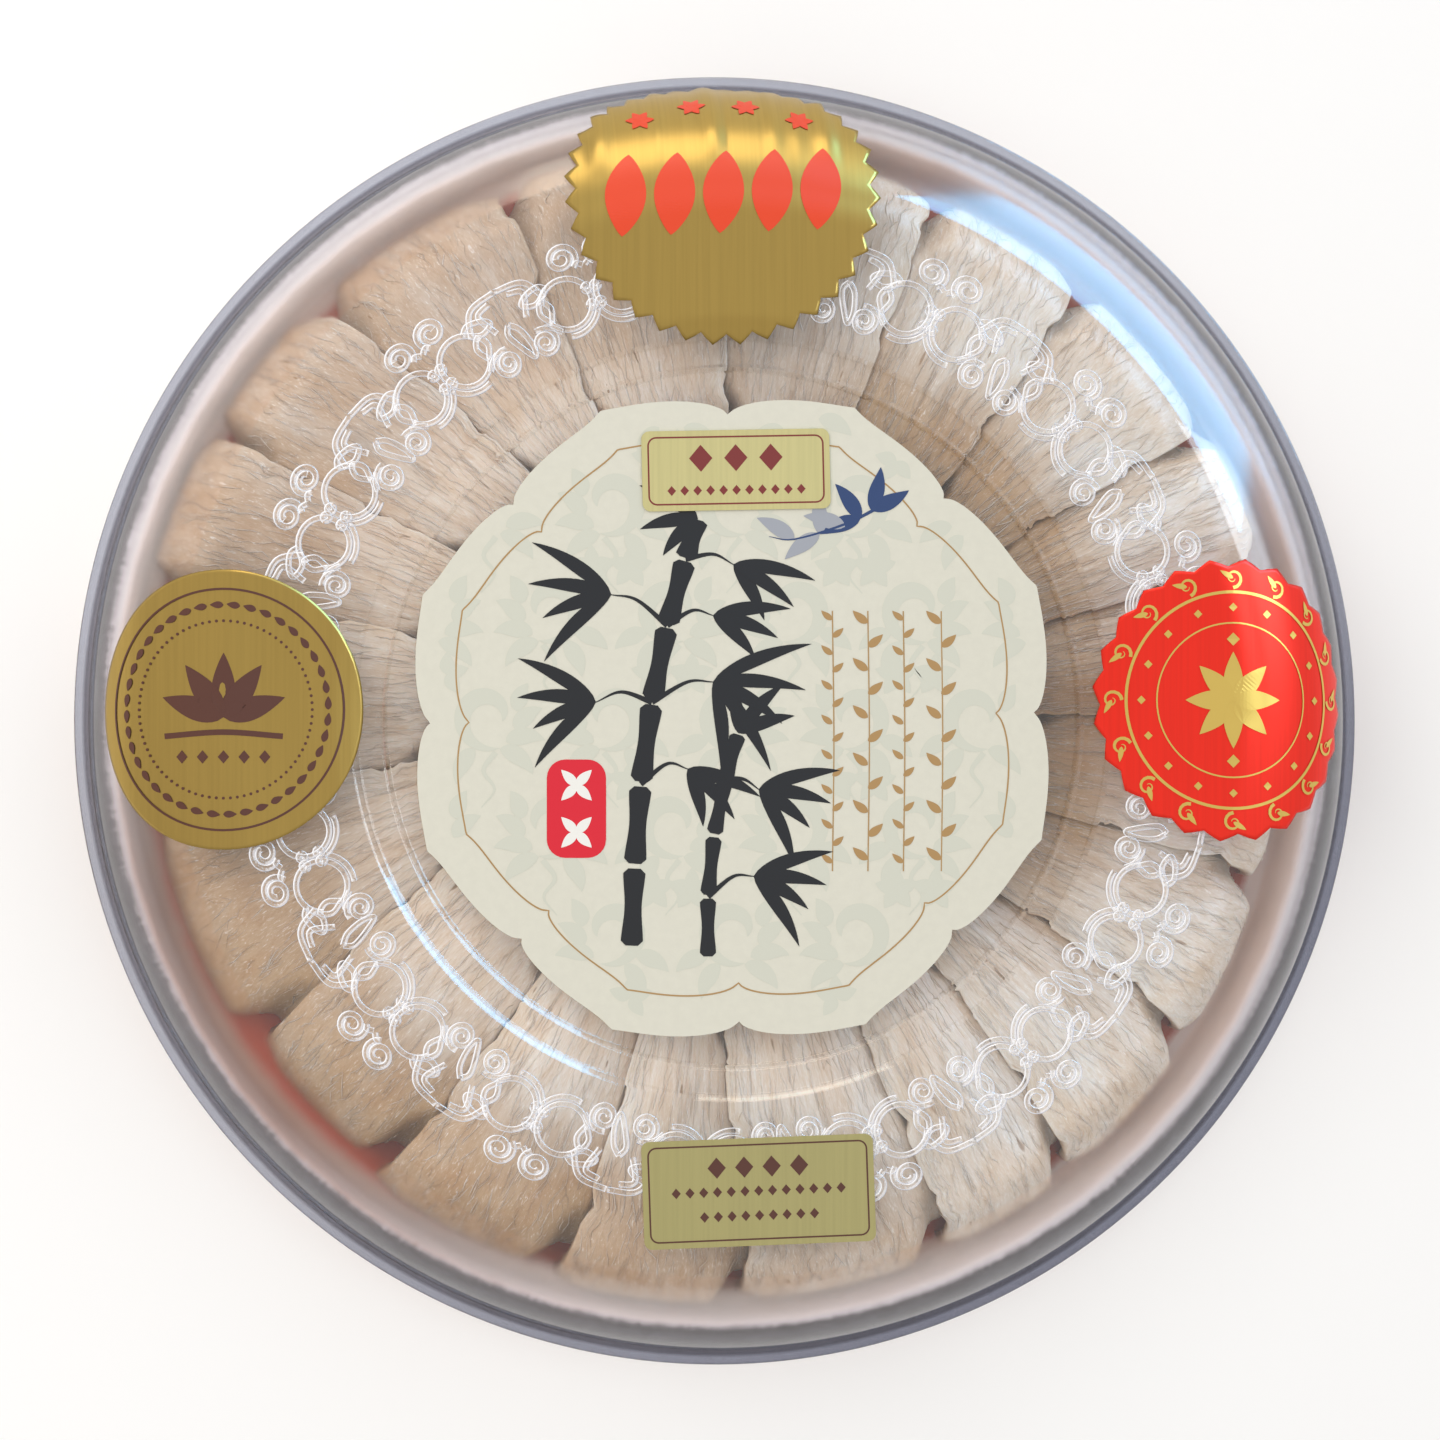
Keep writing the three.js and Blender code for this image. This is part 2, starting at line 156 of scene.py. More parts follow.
ORNAMENT_LIFT = 0.03
STICKER_CLEAR = 0.1  # between the ornament and the stickers over it
UNDER_STICKERS = (75, 79, 99, 105)  # radii where stickers rise over the ornament and come down again
RIDGE_HALF_WIDTH = 0.64
RIDGE_HEIGHT = 0.4
RIDGE_STEP = 0.006  # keeps crossing ridges apart
RIDGE_SECTION = [(-1, 0), (-0.86, 0.5), (-0.5, 0.87), (0, 1), (0.5, 0.87), (0.86, 0.5), (1, 0)]
FLAT_SECTION = [(-1, 0), (-1, 1), (1, 1), (1, 0)]

# Colours and the sides where they change, painted light and shade among them
IVORY = np.array([0.64, 0.49, 0.375])
# The pale tone is partly the nests' own, and partly painted light on the right side, at the bottom's inner
# ends and on ridge tops.
PALE = np.array([0.835, 0.82, 0.795])
# The fibre tone is for pale fibres, and at the inner ends it is also painted light against the label's
# shade.
FIBRE = np.array([0.96, 0.85, 0.75])
# The amber is painted shade in the nests' seams, hollows and hollow sides, and on one side of the box.
SHADE_AMBER = np.array([0.5, 0.32, 0.16])
WHITE = np.array([0.98, 0.94, 0.88])
STRAND_PALENESS = 0.5
# Nests facing this side are painted amber, as painted shade.
NEST_SHADE_SIDE = 222
HALF_NEST = 9  # about half of a nest's width, in degrees
BLUR_RADIUS = 109  # the lid blurs what is under it beyond this
SHADE_BAND_RADIUS = 120.6  # and has a dark band of painted shade beyond this
LINER_PALES = (113, 119)  # radii between which the liner's red gives way to tan or brown
BAND_SHIFT = 1.9  # how much nearer the axis the bands lie on the near side
NEAR_SIDE = (0.7, -0.71, 0)
# Sides where the shoulder's milky band, a painted reflection, is strongest.
REFLECTION_BOTTOM = (0.09, -1.0, 0)
REFLECTION_LEFT = (-0.82, 0.57, 0)
BROWN_SIDE = (-0.82, -0.57, 0)
SHADED_SIDE = (0.72, 0.69, 0)
# Direction the ornament's painted highlights face.
ORNAMENT_LIT = (-0.75, 0.35, 0.56)
BRIGHT_SIDE = (0.1, 0.95, 0.1)

# Drawings
EDGE_LINE = 0.873  # size of the line along the label's edge, as a share of it
STAMP_PLACE = (-30.8, -17.8)
STAMP_SIZE = (11.6, 19.2, 3.6)  # width, height and corner
GARLANDS = [(19.5, 2.8), (26.5, 3.8), (33.5, 2.8), (41, 3.8)]  # place and leaf length of each
GARLAND_TOP = 21
GARLAND_BOTTOM = -30
SPRIG_STEM = [(29, 41.5), (22, 38), (12, 35), (7, 35.5)]
BLUE_LEAVES = [(27, 41, 25), (27, 41, 75), (25, 39, 125), (25, 39, 200)]
GREY_LEAVES = [(22, 37.5, 165), (17, 36, 95), (17, 36, 215), (12, 35, 150)]
STALKS = [  # joints and width
    (((-20, -45), (-19.4, -29), (-18.2, -13), (-16, 3), (-13, 18), (-9.4, 31), (-7, 39)), 4.4),
    (((-5, -47), (-5, -35), (-3.8, -23), (-1.6, -12), (1, -3)), 3.2),
]
JOINT_GAP = 0.03
LEAF_STEPS = 14
DAMASK_WIDE = 24  # from one scroll to the next along a row, and from row to row
DAMASK_TALL = 21
DAMASK_CLEAR = 3  # from the label's edge
FRAME_INSET = 2.6  # of the line round both flat stickers, both sides together
TWIGS = [
    ((-16, 3), (-22, 5), (-27, 3)), ((-16, 3), (-9, 7), (-4, 7)), ((-13, 18), (-19, 23), (-24, 24)),
    ((-9.4, 31), (-4, 32), (0, 30)), ((-5, -35), (0, -31), (4, -31)), ((-1.6, -12), (2, -12), (5, -14)),
    ((-13, 18), (-8, 21), (-4, 20)), ((-18.2, -13), (-13, -9), (-9, -10)),
]
SPRAYS = [  # place, angles of the leaves and their length
    (-27, 3, (150, 176, 202, 226), 16), (-4, 7, (22, -4, -30, -56, -84), 19),
    (-24, 24, (146, 172, 198, 224), 17), (0, 30, (-10, -34, -60), 15), (4, -31, (18, -6, -30, -56), 15),
    (5, -14, (14, -10, -36, -64), 15), (1, -3, (48, 18, 100), 12), (-4, 20, (6, -18, -44), 14),
    (-7, 39, (150, 190, 226), 12), (-9, -10, (-20, -46, -74), 14),
]


# Meshes

class Parts:
    """Collects the vertices and faces of one mesh, with their material numbers and texture values."""

    def __init__(self):
        self.vertices = []
        self.faces = []
        self.materials = []
        self.uv = []
        self.count = 0

    def add(self, vertices, faces, material=0, uv=None):
        vertices = np.asarray(vertices, float).reshape(-1, 3)
        self.faces.extend([[index + self.count for index in face] for face in faces])
        self.materials.extend([material] * len(faces))
        self.vertices.append(vertices)
        self.uv.append(np.zeros((len(vertices), 2)) if uv is None else np.asarray(uv, float).reshape(-1, 2))
        self.count += len(vertices)

    def small_step(self):
        """A small height that differs from shape to shape, so that overlapping prints stay apart."""
        return PRINT_STEP * (len(self.vertices) % PRINT_LEVELS)

    def piece(self, name, materials, replaced=(), smooth=True):
        """Makes the mesh in metres, on the box's one body."""
        mesh = bpy.data.meshes.new(name)
        mesh.from_pydata((np.concatenate(self.vertices) / 1000).tolist(), [], self.faces)
        for material in materials:
            mesh.materials.append(material)
        mesh.polygons.foreach_set("material_index", self.materials)
        mesh.polygons.foreach_set("use_smooth", [smooth] * len(self.faces))
        corners = np.zeros(len(mesh.loops), int)
        mesh.loops.foreach_get("vertex_index", corners)
        layer = mesh.uv_layers.new(name="lay")
        layer.data.foreach_set("uv", np.concatenate(self.uv)[corners].ravel())
        mesh.update()
        shown = bpy.data.objects.new(name, mesh)
        bpy.context.scene.collection.objects.link(shown)
        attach(shown, "root")
        if replaced:
            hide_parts(*replaced)
        return shown


def smoothstep(value, low, high):
    """The value's share of the way from low to high, eased at both ends."""
    share = np.clip((value - low) / (high - low), 0, 1)
    return share * share * (3 - 2 * share)


def unit(vectors):
    """Vectors of length 1."""
    return vectors / np.maximum(np.linalg.norm(vectors, axis=-1, keepdims=True), 1e-9)


def turns(count):
    """Angles evenly round a circle, in radians."""
    return np.linspace(0, 2 * np.pi, count, endpoint=False)


def polar(radius, turn):
    """Flat points by radius and angle in radians."""
    return np.stack([radius * np.cos(turn), radius * np.sin(turn)], -1)


def round_axis(radius, turn, height):
    """Points round Z by radius, angle in radians and height."""
    return np.stack(np.broadcast_arrays(radius * np.cos(turn), radius * np.sin(turn), height), -1)


def grid_faces(rows, columns, start=0, flip=False):
    """Quads of a grid of points that is stored row by row."""
    row, column = np.mgrid[0:rows - 1, 0:columns - 1]
    first = (start + row * columns + column).ravel()
    quads = np.stack([first, first + columns, first + columns + 1, first + 1], 1)
    return (quads[:, ::-1] if flip else quads).tolist()


def border(rows, columns):
    """Indices round the edge of a grid of points, in order."""
    index = np.arange(rows * columns).reshape(rows, columns)
    return np.concatenate([index[0, :-1], index[:-1, -1], index[-1, :0:-1], index[:0:-1, 0]])


def closed_sheet(upper, lower):
    """Vertices and faces of the solid between two matching grids of points."""
    rows, columns = upper.shape[:2]
    count = rows * columns
    faces = grid_faces(rows, columns) + grid_faces(rows, columns, count, True)
    edge = border(rows, columns)
    following = np.roll(edge, -1)
    faces += np.stack([edge, following, following + count, edge + count], 1).tolist()
    return np.concatenate([upper.reshape(-1, 3), lower.reshape(-1, 3)]), faces


def revolved(profile, steps=ROUND_STEPS):
    """Vertices and faces of a profile of radius and height, from axis to axis, turned round Z."""
    profile = np.asarray(profile, float)
    inner = profile[1:-1]
    ring = round_axis(inner[:, :1], turns(steps), inner[:, 1:])
    first, last = len(inner) * steps, len(inner) * steps + 1
    vertices = np.concatenate([ring.reshape(-1, 3), [[0, 0, profile[0, 1]], [0, 0, profile[-1, 1]]]])
    faces = []
    for step in range(steps):
        following = (step + 1) % steps
        faces.append([first, following, step])
        for row in range(len(inner) - 1):
            a, b = row * steps + step, row * steps + following
            faces.append([a, b, b + steps, a + steps])
        end = (len(inner) - 1) * steps
        faces.append([last, end + step, end + following])
    return vertices, faces


def rounded(points, steps=5):
    """A profile whose corners are rounded: each point is (radius, height, rounding)."""
    result = []
    for index, (x, y, size) in enumerate(points):
        here = np.array([x, y], float)
        if not size:
            result.append(here)
            continue
        before = unit(np.array(points[index - 1][:2], float) - here)
        after = unit(np.array(points[index + 1][:2], float) - here)
        half_turn = math.acos(np.clip(before @ after, -1, 1)) / 2
        reach = size / math.tan(half_turn)
        start, end = here + before * reach, here + after * reach
        for share in np.linspace(0, 1, steps + 1):
            blend = (1 - share) ** 2 * start + 2 * share * (1 - share) * here + share ** 2 * end
            result.append(blend)
    return result


def arc(x, y, radius, start, end, steps):
    """Points of an arc for a profile, with no rounding."""
    turn = np.radians(np.linspace(start, end, steps + 1))
    return [(x + radius * math.cos(t), y + radius * math.sin(t), 0) for t in turn]


def ribbon(path, half_width, place, lift, height, section=FLAT_SECTION):
    """Vertices and faces of a closed strip along a flat path, laid on a surface by place(x, y, lift)."""
    path = np.asarray(path, float)
    half_width = np.broadcast_to(np.asarray(half_width, float), len(path))
    ahead = unit(np.gradient(path, axis=0))
    side = np.stack([-ahead[:, 1], ahead[:, 0]], 1)
    rings = []
    for offset, rise in section:
        across = path + side * (half_width * offset)[:, None]
        rings.append(place(across[:, 0], across[:, 1], lift + height * rise))
    points = np.stack(rings, 1)
    rows, columns = points.shape[:2]
    faces = grid_faces(rows, columns)
    ends = [(row * columns + columns - 1, (row + 1) * columns + columns - 1) for row in range(rows - 1)]
    faces += [[a, b, b - columns + 1, a - columns + 1] for a, b in ends]
    faces += [list(range(columns))[::-1], list(range((rows - 1) * columns, rows * columns))]
    faces = [face[::-1] for face in faces]
    return points.reshape(-1, 3), faces


def plate_solid(outline, place, lift, height):
    """Vertices and faces of a flat outline, raised to a closed slab."""
    outline = np.asarray(outline, float)
    count = len(outline)
    top = place(outline[:, 0], outline[:, 1], lift + height)
    bottom = place(outline[:, 0], outline[:, 1], lift)
    cap = tessellate_polygon([[Vector((x, y, 0)) for x, y in outline]])
    faces = []
    for a, b, c in cap:
        (ax, ay), (bx, by), (cx, cy) = outline[a], outline[b], outline[c]
        if (bx - ax) * (cy - ay) - (by - ay) * (cx - ax) < 0:
            b, c = c, b
        faces += [[a, b, c], [a + count, c + count, b + count]]
    faces += [[i, i + count, (i + 1) % count + count, (i + 1) % count] for i in range(count)]
    return np.concatenate([top, bottom]), faces


# Places on the box

def flat_place(height, x=0.0, y=0.0, turn=0.0):
    """Lays flat points at a height, moved and turned about Z."""
    cos, sin = math.cos(math.radians(turn)), math.sin(math.radians(turn))

    def place(px, py, lift):
        return np.stack([x + px * cos - py * sin, y + px * sin + py * cos, height + lift + 0 * px], 1)

    return place


def on_lid(distance):
    """Radius, height and outward direction of a seal, by the distance along the lid from the axis."""
    dip = math.radians(SEAL_DIP)
    back = np.maximum(RING_INNER - distance, 0)
    bend = np.maximum(distance - SHOULDER_CENTRE, 0) / SHOULDER
    flat = np.minimum(distance, SHOULDER_CENTRE) + back * (1 - math.cos(dip))
    radius = flat + SHOULDER * np.sin(bend)
    height = BOX_HEIGHT - SHOULDER + SHOULDER * np.cos(bend) - back * math.sin(dip)
    out_r = np.where(back > 0, -math.sin(dip), np.sin(bend))
    out_z = np.where(back > 0, math.cos(dip), np.cos(bend))
    return radius, height, out_r, out_z


def over_ornament(distance):
    """How far a sticker is lifted where the moulded ornament is under it."""
    rise, top, fall, foot = UNDER_STICKERS
    over = smoothstep(distance, rise, top) * (1 - smoothstep(distance, fall, foot))
    return (RIDGE_HEIGHT + STICKER_CLEAR) * over


def creased(x, y, depth):
    """Height of the creases in a seal that is folded over the shoulder."""
    fold = smoothstep(x, SHOULDER_CENTRE + CREASE_FROM, SHOULDER_CENTRE + CREASE_FULL)
    wave = np.sin(0.42 * y + 0.8) * np.sin(0.13 * y + 2.0) + 0.2 * np.sin(1.1 * y)
    return depth * fold * np.maximum(0, wave)


def lid_place(from_middle, angle, crease=0.0):
    """Lays flat points over the lid, round a middle on its meridian. Local x runs outwards."""

    def place(px, py, lift):
        x = from_middle + px
        distance = np.hypot(x, py)
        radius, height, out_r, out_z = on_lid(distance)
        turn = math.radians(angle) + np.arctan2(py, x)
        lift = lift + over_ornament(distance) + creased(distance, py, crease)
        radius = radius + lift * out_r
        return round_axis(radius, turn, height + lift * out_z)

    return place


def upright(place, angle):
    """The same place with local x to the right and y to the top as the label is read."""
    cos, sin = math.cos(math.radians(angle)), math.sin(math.radians(angle))

    def turned(px, py, lift):
        return place(px * cos + py * sin, -px * sin + py * cos, lift)

    return turned


def ring_place(angle):
    """Lays points on the lid's ring: x runs round it from an angle, and y out from ORNAMENT_RADIUS."""

    def place(px, py, lift):
        radius = ORNAMENT_RADIUS + py
        turn = math.radians(angle) + px / ORNAMENT_RADIUS
        return round_axis(radius, turn, BOX_HEIGHT + lift)

    return place


# Materials

def material(name, **inputs):
    """A Principled material with plain values. Returns it with its tree and its shader."""
    made = bpy.data.materials.new(name)
    made.use_nodes = True
    shader = made.node_tree.nodes["Principled BSDF"]
    for key, value in inputs.items():
        shader.inputs[key.replace("_", " ")].default_value = value
    return made, made.node_tree, shader


def node(tree, kind, inputs=None, **settings):
    """A shader node with its settings. Each input, by name or number, is a socket or a plain value."""
    made = tree.nodes.new(kind)
    for key, value in settings.items():
        setattr(made, key, value)
    for key, value in (inputs or {}).items():
        if isinstance(value, bpy.types.NodeSocket):
            tree.links.new(value, made.inputs[key])
        else:
            made.inputs[key].default_value = value
    return made


def noise_along(tree, across, along, detail=3.0, roughness=0.6, distortion=0.0, laid=True):
    """Noise with so many waves a millimetre each way, over the strands' own layer or over the whole box."""
    if laid:
        source = node(tree, "ShaderNodeUVMap", uv_map="lay").outputs["UV"]
        scale = 1
    else:
        source = node(tree, "ShaderNodeTexCoord").outputs["Object"]
        scale = 1000
    waves = (across * scale, along * scale, along * scale)
    scaled = node(tree, "ShaderNodeMapping", {"Vector": source, "Scale": waves})
    noise = node(tree, "ShaderNodeTexNoise", {
        "Vector": scaled.outputs["Vector"], "Scale": 1, "Detail": detail, "Roughness": roughness,
        "Distortion": distortion,
    })
    return noise.outputs["Fac"]


def ramp(tree, source, stops):
    """A colour ramp over a value; stops are (place, colour) or (place, grey level)."""
    made = node(tree, "ShaderNodeValToRGB", {"Fac": source})
    elements = made.color_ramp.elements
    while len(elements) < len(stops):
        elements.new(0.5)
    for element, (place, colour) in zip(elements, stops):
        element.position = place
        element.color = (*np.broadcast_to(np.asarray(colour, float), 3), 1)
    return made.outputs["Color"]


def mixed(tree, mode, factor, first, second):
    """Two colours mixed. The factor and the colours are sockets or plain values."""
    inputs = {0: factor, 6: first, 7: second}
    made = node(tree, "ShaderNodeMix", inputs, data_type="RGBA", blend_type=mode)
    return made.outputs[2]


def bumped(tree, shader, source, strength, distance):
    """Bumps a shader by a value."""
    bump = node(tree, "ShaderNodeBump", {"Strength": strength, "Distance": distance, "Height": source})
    tree.links.new(bump.outputs["Normal"], shader.inputs["Normal"])


def nest_material():
    """Dried strands, ivory on the ridges and amber between them, with a few brown slits along them. The
    amber and the paler places in the vertex tint are painted shade and light.
    """
    made, tree, shader = material("nest", Roughness=0.46, Subsurface_Weight=0.3, Subsurface_Scale=0.004)
    shader.inputs["Subsurface Radius"].default_value = (1.0, 0.75, 0.5)
    tint = node(tree, "ShaderNodeVertexColor", layer_name="tint")
    cloud = noise_along(tree, 0.11, 0.07, 1.0, 0.5, 0.6)
    streak = noise_along(tree, 1.2, 0.26, 2.0, 0.6, 1.0)
    fine = noise_along(tree, 2.8, 0.5, 2.0, 0.65, 1.4)
    slit = noise_along(tree, 0.7, 0.17, 1.0, 0.4, 0.3)
    colour = tint.outputs["Color"]
    for noise, low, dark, high in (
            (cloud, 0.32, (0.93, 0.85, 0.76), 0.6),
            (streak, 0.3, (0.93, 0.88, 0.82), 0.58),
            (fine, 0.34, (0.9, 0.86, 0.8), 0.6),
    ):
        colour = mixed(tree, "MULTIPLY", 1.0, colour, ramp(tree, noise, [(low, dark), (high, 1)]))
    glint = ramp(tree, fine, [(0.6, 0), (0.72, 0.6)])
    colour = mixed(tree, "MIX", glint, colour, (0.92, 0.88, 0.84, 1))
    mask = ramp(tree, slit, [(0.74, 0), (0.79, 0.7)])
    colour = mixed(tree, "MIX", mask, colour, (0.3, 0.15, 0.05, 1))
    tree.links.new(colour, shader.inputs["Base Color"])
    bumped(tree, shader, fine, 0.4, 0.00015)
    return made


def clear_material(name, colour, roughness=0.02):
    """See-through plastic, tinted by its colour."""
    return material(name, Base_Color=(*colour, 1), Roughness=roughness, IOR=1.55, Transmission_Weight=1)[0]


def flat_place_of(tree):
    """Distance from the box's axis in millimetres and the direction from it, as sockets."""
    place = node(tree, "ShaderNodeTexCoord").outputs["Object"]
    flat = node(tree, "ShaderNodeVectorMath", {0: place, 1: (1000, 1000, 0)}, operation="MULTIPLY")
    flat = flat.outputs["Vector"]
    length = node(tree, "ShaderNodeVectorMath", {0: flat}, operation="LENGTH")
    direction = node(tree, "ShaderNodeVectorMath", {0: flat}, operation="NORMALIZE")
    return length.outputs["Value"], direction.outputs["Vector"]


def share_of(tree, source, low, high):
    """A value's share of the way from one number to another."""
    made = node(tree, "ShaderNodeMapRange", {"Value": source, "From Min": low, "From Max": high})
    return made.outputs["Result"]


def weighed(tree, first, factor, added):
    """first * factor + added, each of them a socket or a number."""
    made = node(tree, "ShaderNodeMath", {0: first, 1: factor, 2: added}, operation="MULTIPLY_ADD")
    return made.outputs["Value"]


def facing(tree, direction, side):
    """How far a direction points to a side, as a cosine."""
    made = node(tree, "ShaderNodeVectorMath", {0: direction, 1: side}, operation="DOT_PRODUCT")
    return made.outputs["Value"]


def facing_share(tree, direction, side, low, high):
    """How far a direction points to a side: 0 where the cosine is low and 1 where it is high."""
    return share_of(tree, facing(tree, direction, side), low, high)


def shoulder_material():
    """Clear plastic that blurs what is under it, with a milky band that is a painted reflection, a dark
    band of painted shade and a paler lip, painted darker on the near side.
    """
    made, tree, shader = material("clear_shoulder", Roughness=0.12, IOR=1.55)
    radius, direction = flat_place_of(tree)
    blotch = noise_along(tree, 0.16, 0.16, 3.0, 0.65, 1.0, laid=False)
    hairs = node(tree, "ShaderNodeTexNoise", {"Vector": direction, "Scale": 110}).outputs["Fac"]
    near = facing(tree, direction, NEAR_SIDE)
    shifted = weighed(tree, near, BAND_SHIFT, radius)
    edge = weighed(tree, hairs, 1.2, weighed(tree, blotch, 2.0, shifted))
    reach = share_of(tree, edge, BLUR_RADIUS + 1.2, BOX_RADIUS + 1.2)

    def bands(*stops):
        """A ramp over the radius, with its edges made uneven."""
        width = BOX_RADIUS - BLUR_RADIUS
        return ramp(tree, reach, [((r - BLUR_RADIUS) / width, colour) for r, colour in stops])

    # Pale inside, then a dark band of painted shade, made streaky.
    tint = bands((116, (1.0, 0.96, 0.94)), (SHADE_BAND_RADIUS, (0.95, 0.9, 0.93)),
                 (SHADE_BAND_RADIUS + 1.2, (0.24, 0.22, 0.23)), (SHADE_BAND_RADIUS + 3.9, (0.25, 0.24, 0.26)))
    streak = ramp(tree, blotch, [(0.35, (0.6, 0.58, 0.58)), (0.62, 1)])
    painted_shade_band = bands((SHADE_BAND_RADIUS + 0.2, 0), (SHADE_BAND_RADIUS + 1.4, 1))
    shade_banded = mixed(tree, "MULTIPLY", painted_shade_band, tint, streak)
    out = share_of(tree, radius, LID_RADIUS - 0.5, BOX_RADIUS)
    lip = ramp(tree, out, [(0.1, (0.42, 0.42, 0.46)), (0.4, (0.28, 0.28, 0.33)), (0.6, (0.72, 0.76, 0.84))])
    shade = ramp(tree, share_of(tree, near, -1, 1), [(0.5, 1), (0.95, (0.5, 0.5, 0.56))])
    lip = mixed(tree, "MULTIPLY", 1.0, lip, shade)
    on_lip = ramp(tree, out, [(0.0, 0), (0.15, 1)])
    tree.links.new(mixed(tree, "MIX", on_lip, shade_banded, lip), shader.inputs["Base Color"])
    # The milky band lets less light through: a painted reflection, strongest at the bottom and on the left.
    painted_reflection = bands((112.8, 0), (115.5, 0.5), (119, 1), (SHADE_BAND_RADIUS - 0.4, 0.9), (SHADE_BAND_RADIUS + 0.6, 0))
    bottom = weighed(tree, facing_share(tree, direction, REFLECTION_BOTTOM, 0.6, 0.95), -0.2, -0.05)
    side = weighed(tree, facing_share(tree, direction, REFLECTION_LEFT, 0.6, 0.95), -0.12, bottom)
    tree.links.new(weighed(tree, painted_reflection, side, 1.0), shader.inputs["Transmission Weight"])
    return made


def ornament_material():
    """Clear ridges with painted light: a painted highlight on the side toward ORNAMENT_LIT, painted grey
    shade on the other, faint between, and more solid at the edges.
    """
    made, tree, shader = material("clear_ornament", Roughness=0.1, IOR=1.7)
    normal = node(tree, "ShaderNodeNewGeometry").outputs["Normal"]
    painted_light_side = facing_share(tree, normal, ORNAMENT_LIT, -1, 1)
    tree.links.new(ramp(tree, painted_light_side, [(0.4, (0.66, 0.7, 0.84)), (0.8, (0.97, 0.97, 1.0))]),
                   shader.inputs["Base Color"])
    layer = node(tree, "ShaderNodeUVMap", uv_map="lay").outputs["UV"]
    apart = node(tree, "ShaderNodeSeparateXYZ", {"Vector": layer})
    across = node(tree, "ShaderNodeMath", {0: apart.outputs["X"]}, operation="ABSOLUTE").outputs["Value"]
    # Its edges are more solid, with painted highlight and painted shade along them.
    edge = ramp(tree, across, [(0.58, 0), (0.8, 0.66)])
    painted_light_alpha = ramp(tree, painted_light_side, [(0.33, 0.2), (0.5, 0.06), (0.82, 0.04), (0.92, 0.6)])
    tree.links.new(weighed(tree, painted_light_alpha, 1.0, edge), shader.inputs["Alpha"])
    return made


def plain(name, colour, roughness, metallic=0.0):
    """An ink or a paper of one colour."""
    return material(name, Base_Color=(*colour, 1), Roughness=roughness, Metallic=metallic)[0]


def foil_material(name, colour, roughness, metallic):
    """Foil with faint streaks from its rolling."""
    made, tree, shader = material(name, Roughness=roughness, Metallic=metallic)
    streak = noise_along(tree, 1.6, 0.03, 2.0, 0.5, laid=False)
    low = tuple(0.93 * value for value in colour)
    tree.links.new(ramp(tree, streak, [(0.3, low), (0.65, colour)]), shader.inputs["Base Color"])
    bumped(tree, shader, streak, 0.05, 0.0002)
    return made


def card_material(name, colour):
    """Card with a faint mottle."""
    made, tree, shader = material(name, Roughness=0.5)
    mottle = noise_along(tree, 0.5, 0.5, 4.0, 0.6, laid=False)
    low = tuple(0.965 * value for value in colour)
    tree.links.new(ramp(tree, mottle, [(0.35, low), (0.65, colour)]), shader.inputs["Base Color"])
    bumped(tree, shader, mottle, 0.1, 0.0002)
    return made


def liner_material():
    """Red card that is tan where it turns up, and brown there on two sides, the brown on one of them being
    painted shade.
    """
    made, tree, shader = material("liner_card", Roughness=0.5)
    mottle = noise_along(tree, 0.3, 0.3, 4.0, 0.6, laid=False)
    radius, direction = flat_place_of(tree)
    reach = share_of(tree, weighed(tree, mottle, 2.0, radius), *LINER_PALES)
    brown = ramp(tree, reach, [(0.15, (0.6, 0.09, 0.03)), (0.6, (0.5, 0.28, 0.19))])
    tan = ramp(tree, reach, [(0.0, (0.6, 0.09, 0.03)), (0.3, (0.88, 0.73, 0.67))])
    # Brown toward the shaded side is painted shade.
    shaded = weighed(tree, facing_share(tree, direction, SHADED_SIDE, 0.6, 0.85), 0.6, 0.0)
    brown_and_shade = weighed(tree, facing_share(tree, direction, BROWN_SIDE, 0.7, 0.95), 1.0, shaded)
    tree.links.new(mixed(tree, "MIX", brown_and_shade, tan, brown), shader.inputs["Base Color"])
    return made


NEST = nest_material()
CLEAR_LID = clear_material("clear_lid", (0.97, 0.98, 1.0))
CLEAR_SHOULDER = shoulder_material()
CLEAR_BASE = clear_material("clear_base", (0.66, 0.66, 0.7), 0.04)
CLEAR_ORNAMENT = ornament_material()
LINER = liner_material()
CREAM = card_material("cream_card", (0.705, 0.688, 0.585))
DAMASK = plain("damask_print", (0.63, 0.635, 0.54), 0.5)
GOLD_LINE = plain("gold_line_print", (0.42, 0.25, 0.09), 0.45)
INK = plain("black_ink", (0.008, 0.005, 0.004), 0.6)
STAMP = plain("red_ink", (0.7, 0.002, 0.018), 0.5)
WHITE_INK = plain("white_ink", (0.85, 0.84, 0.8), 0.5)
BLUE_INK = plain("blue_ink", (0.02, 0.05, 0.16), 0.4)
GREY_INK = plain("grey_ink", (0.35, 0.37, 0.42), 0.4)
GOLD = foil_material("gold_foil", (0.45, 0.3, 0.08), 0.3, 0.95)
PALE_GOLD = foil_material("pale_gold_foil", (0.66, 0.57, 0.26), 0.42, 0.75)
DULL_GOLD = foil_material("dull_gold_foil", (0.46, 0.4, 0.17), 0.42, 0.75)
BROWN_INK = plain("brown_ink", (0.09, 0.025, 0.012), 0.45)
DARK_RED_INK = plain("dark_red_ink", (0.2, 0.02, 0.015), 0.45)
ORANGE_RED_INK = plain("orange_red_ink", (0.78, 0.05, 0.002), 0.35)
RED_FOIL = foil_material("red_foil", (0.92, 0.028, 0.012), 0.28, 0.6)
GOLD_PRINT = plain("gold_print", (0.72, 0.5, 0.12), 0.3, 0.8)


# Nests

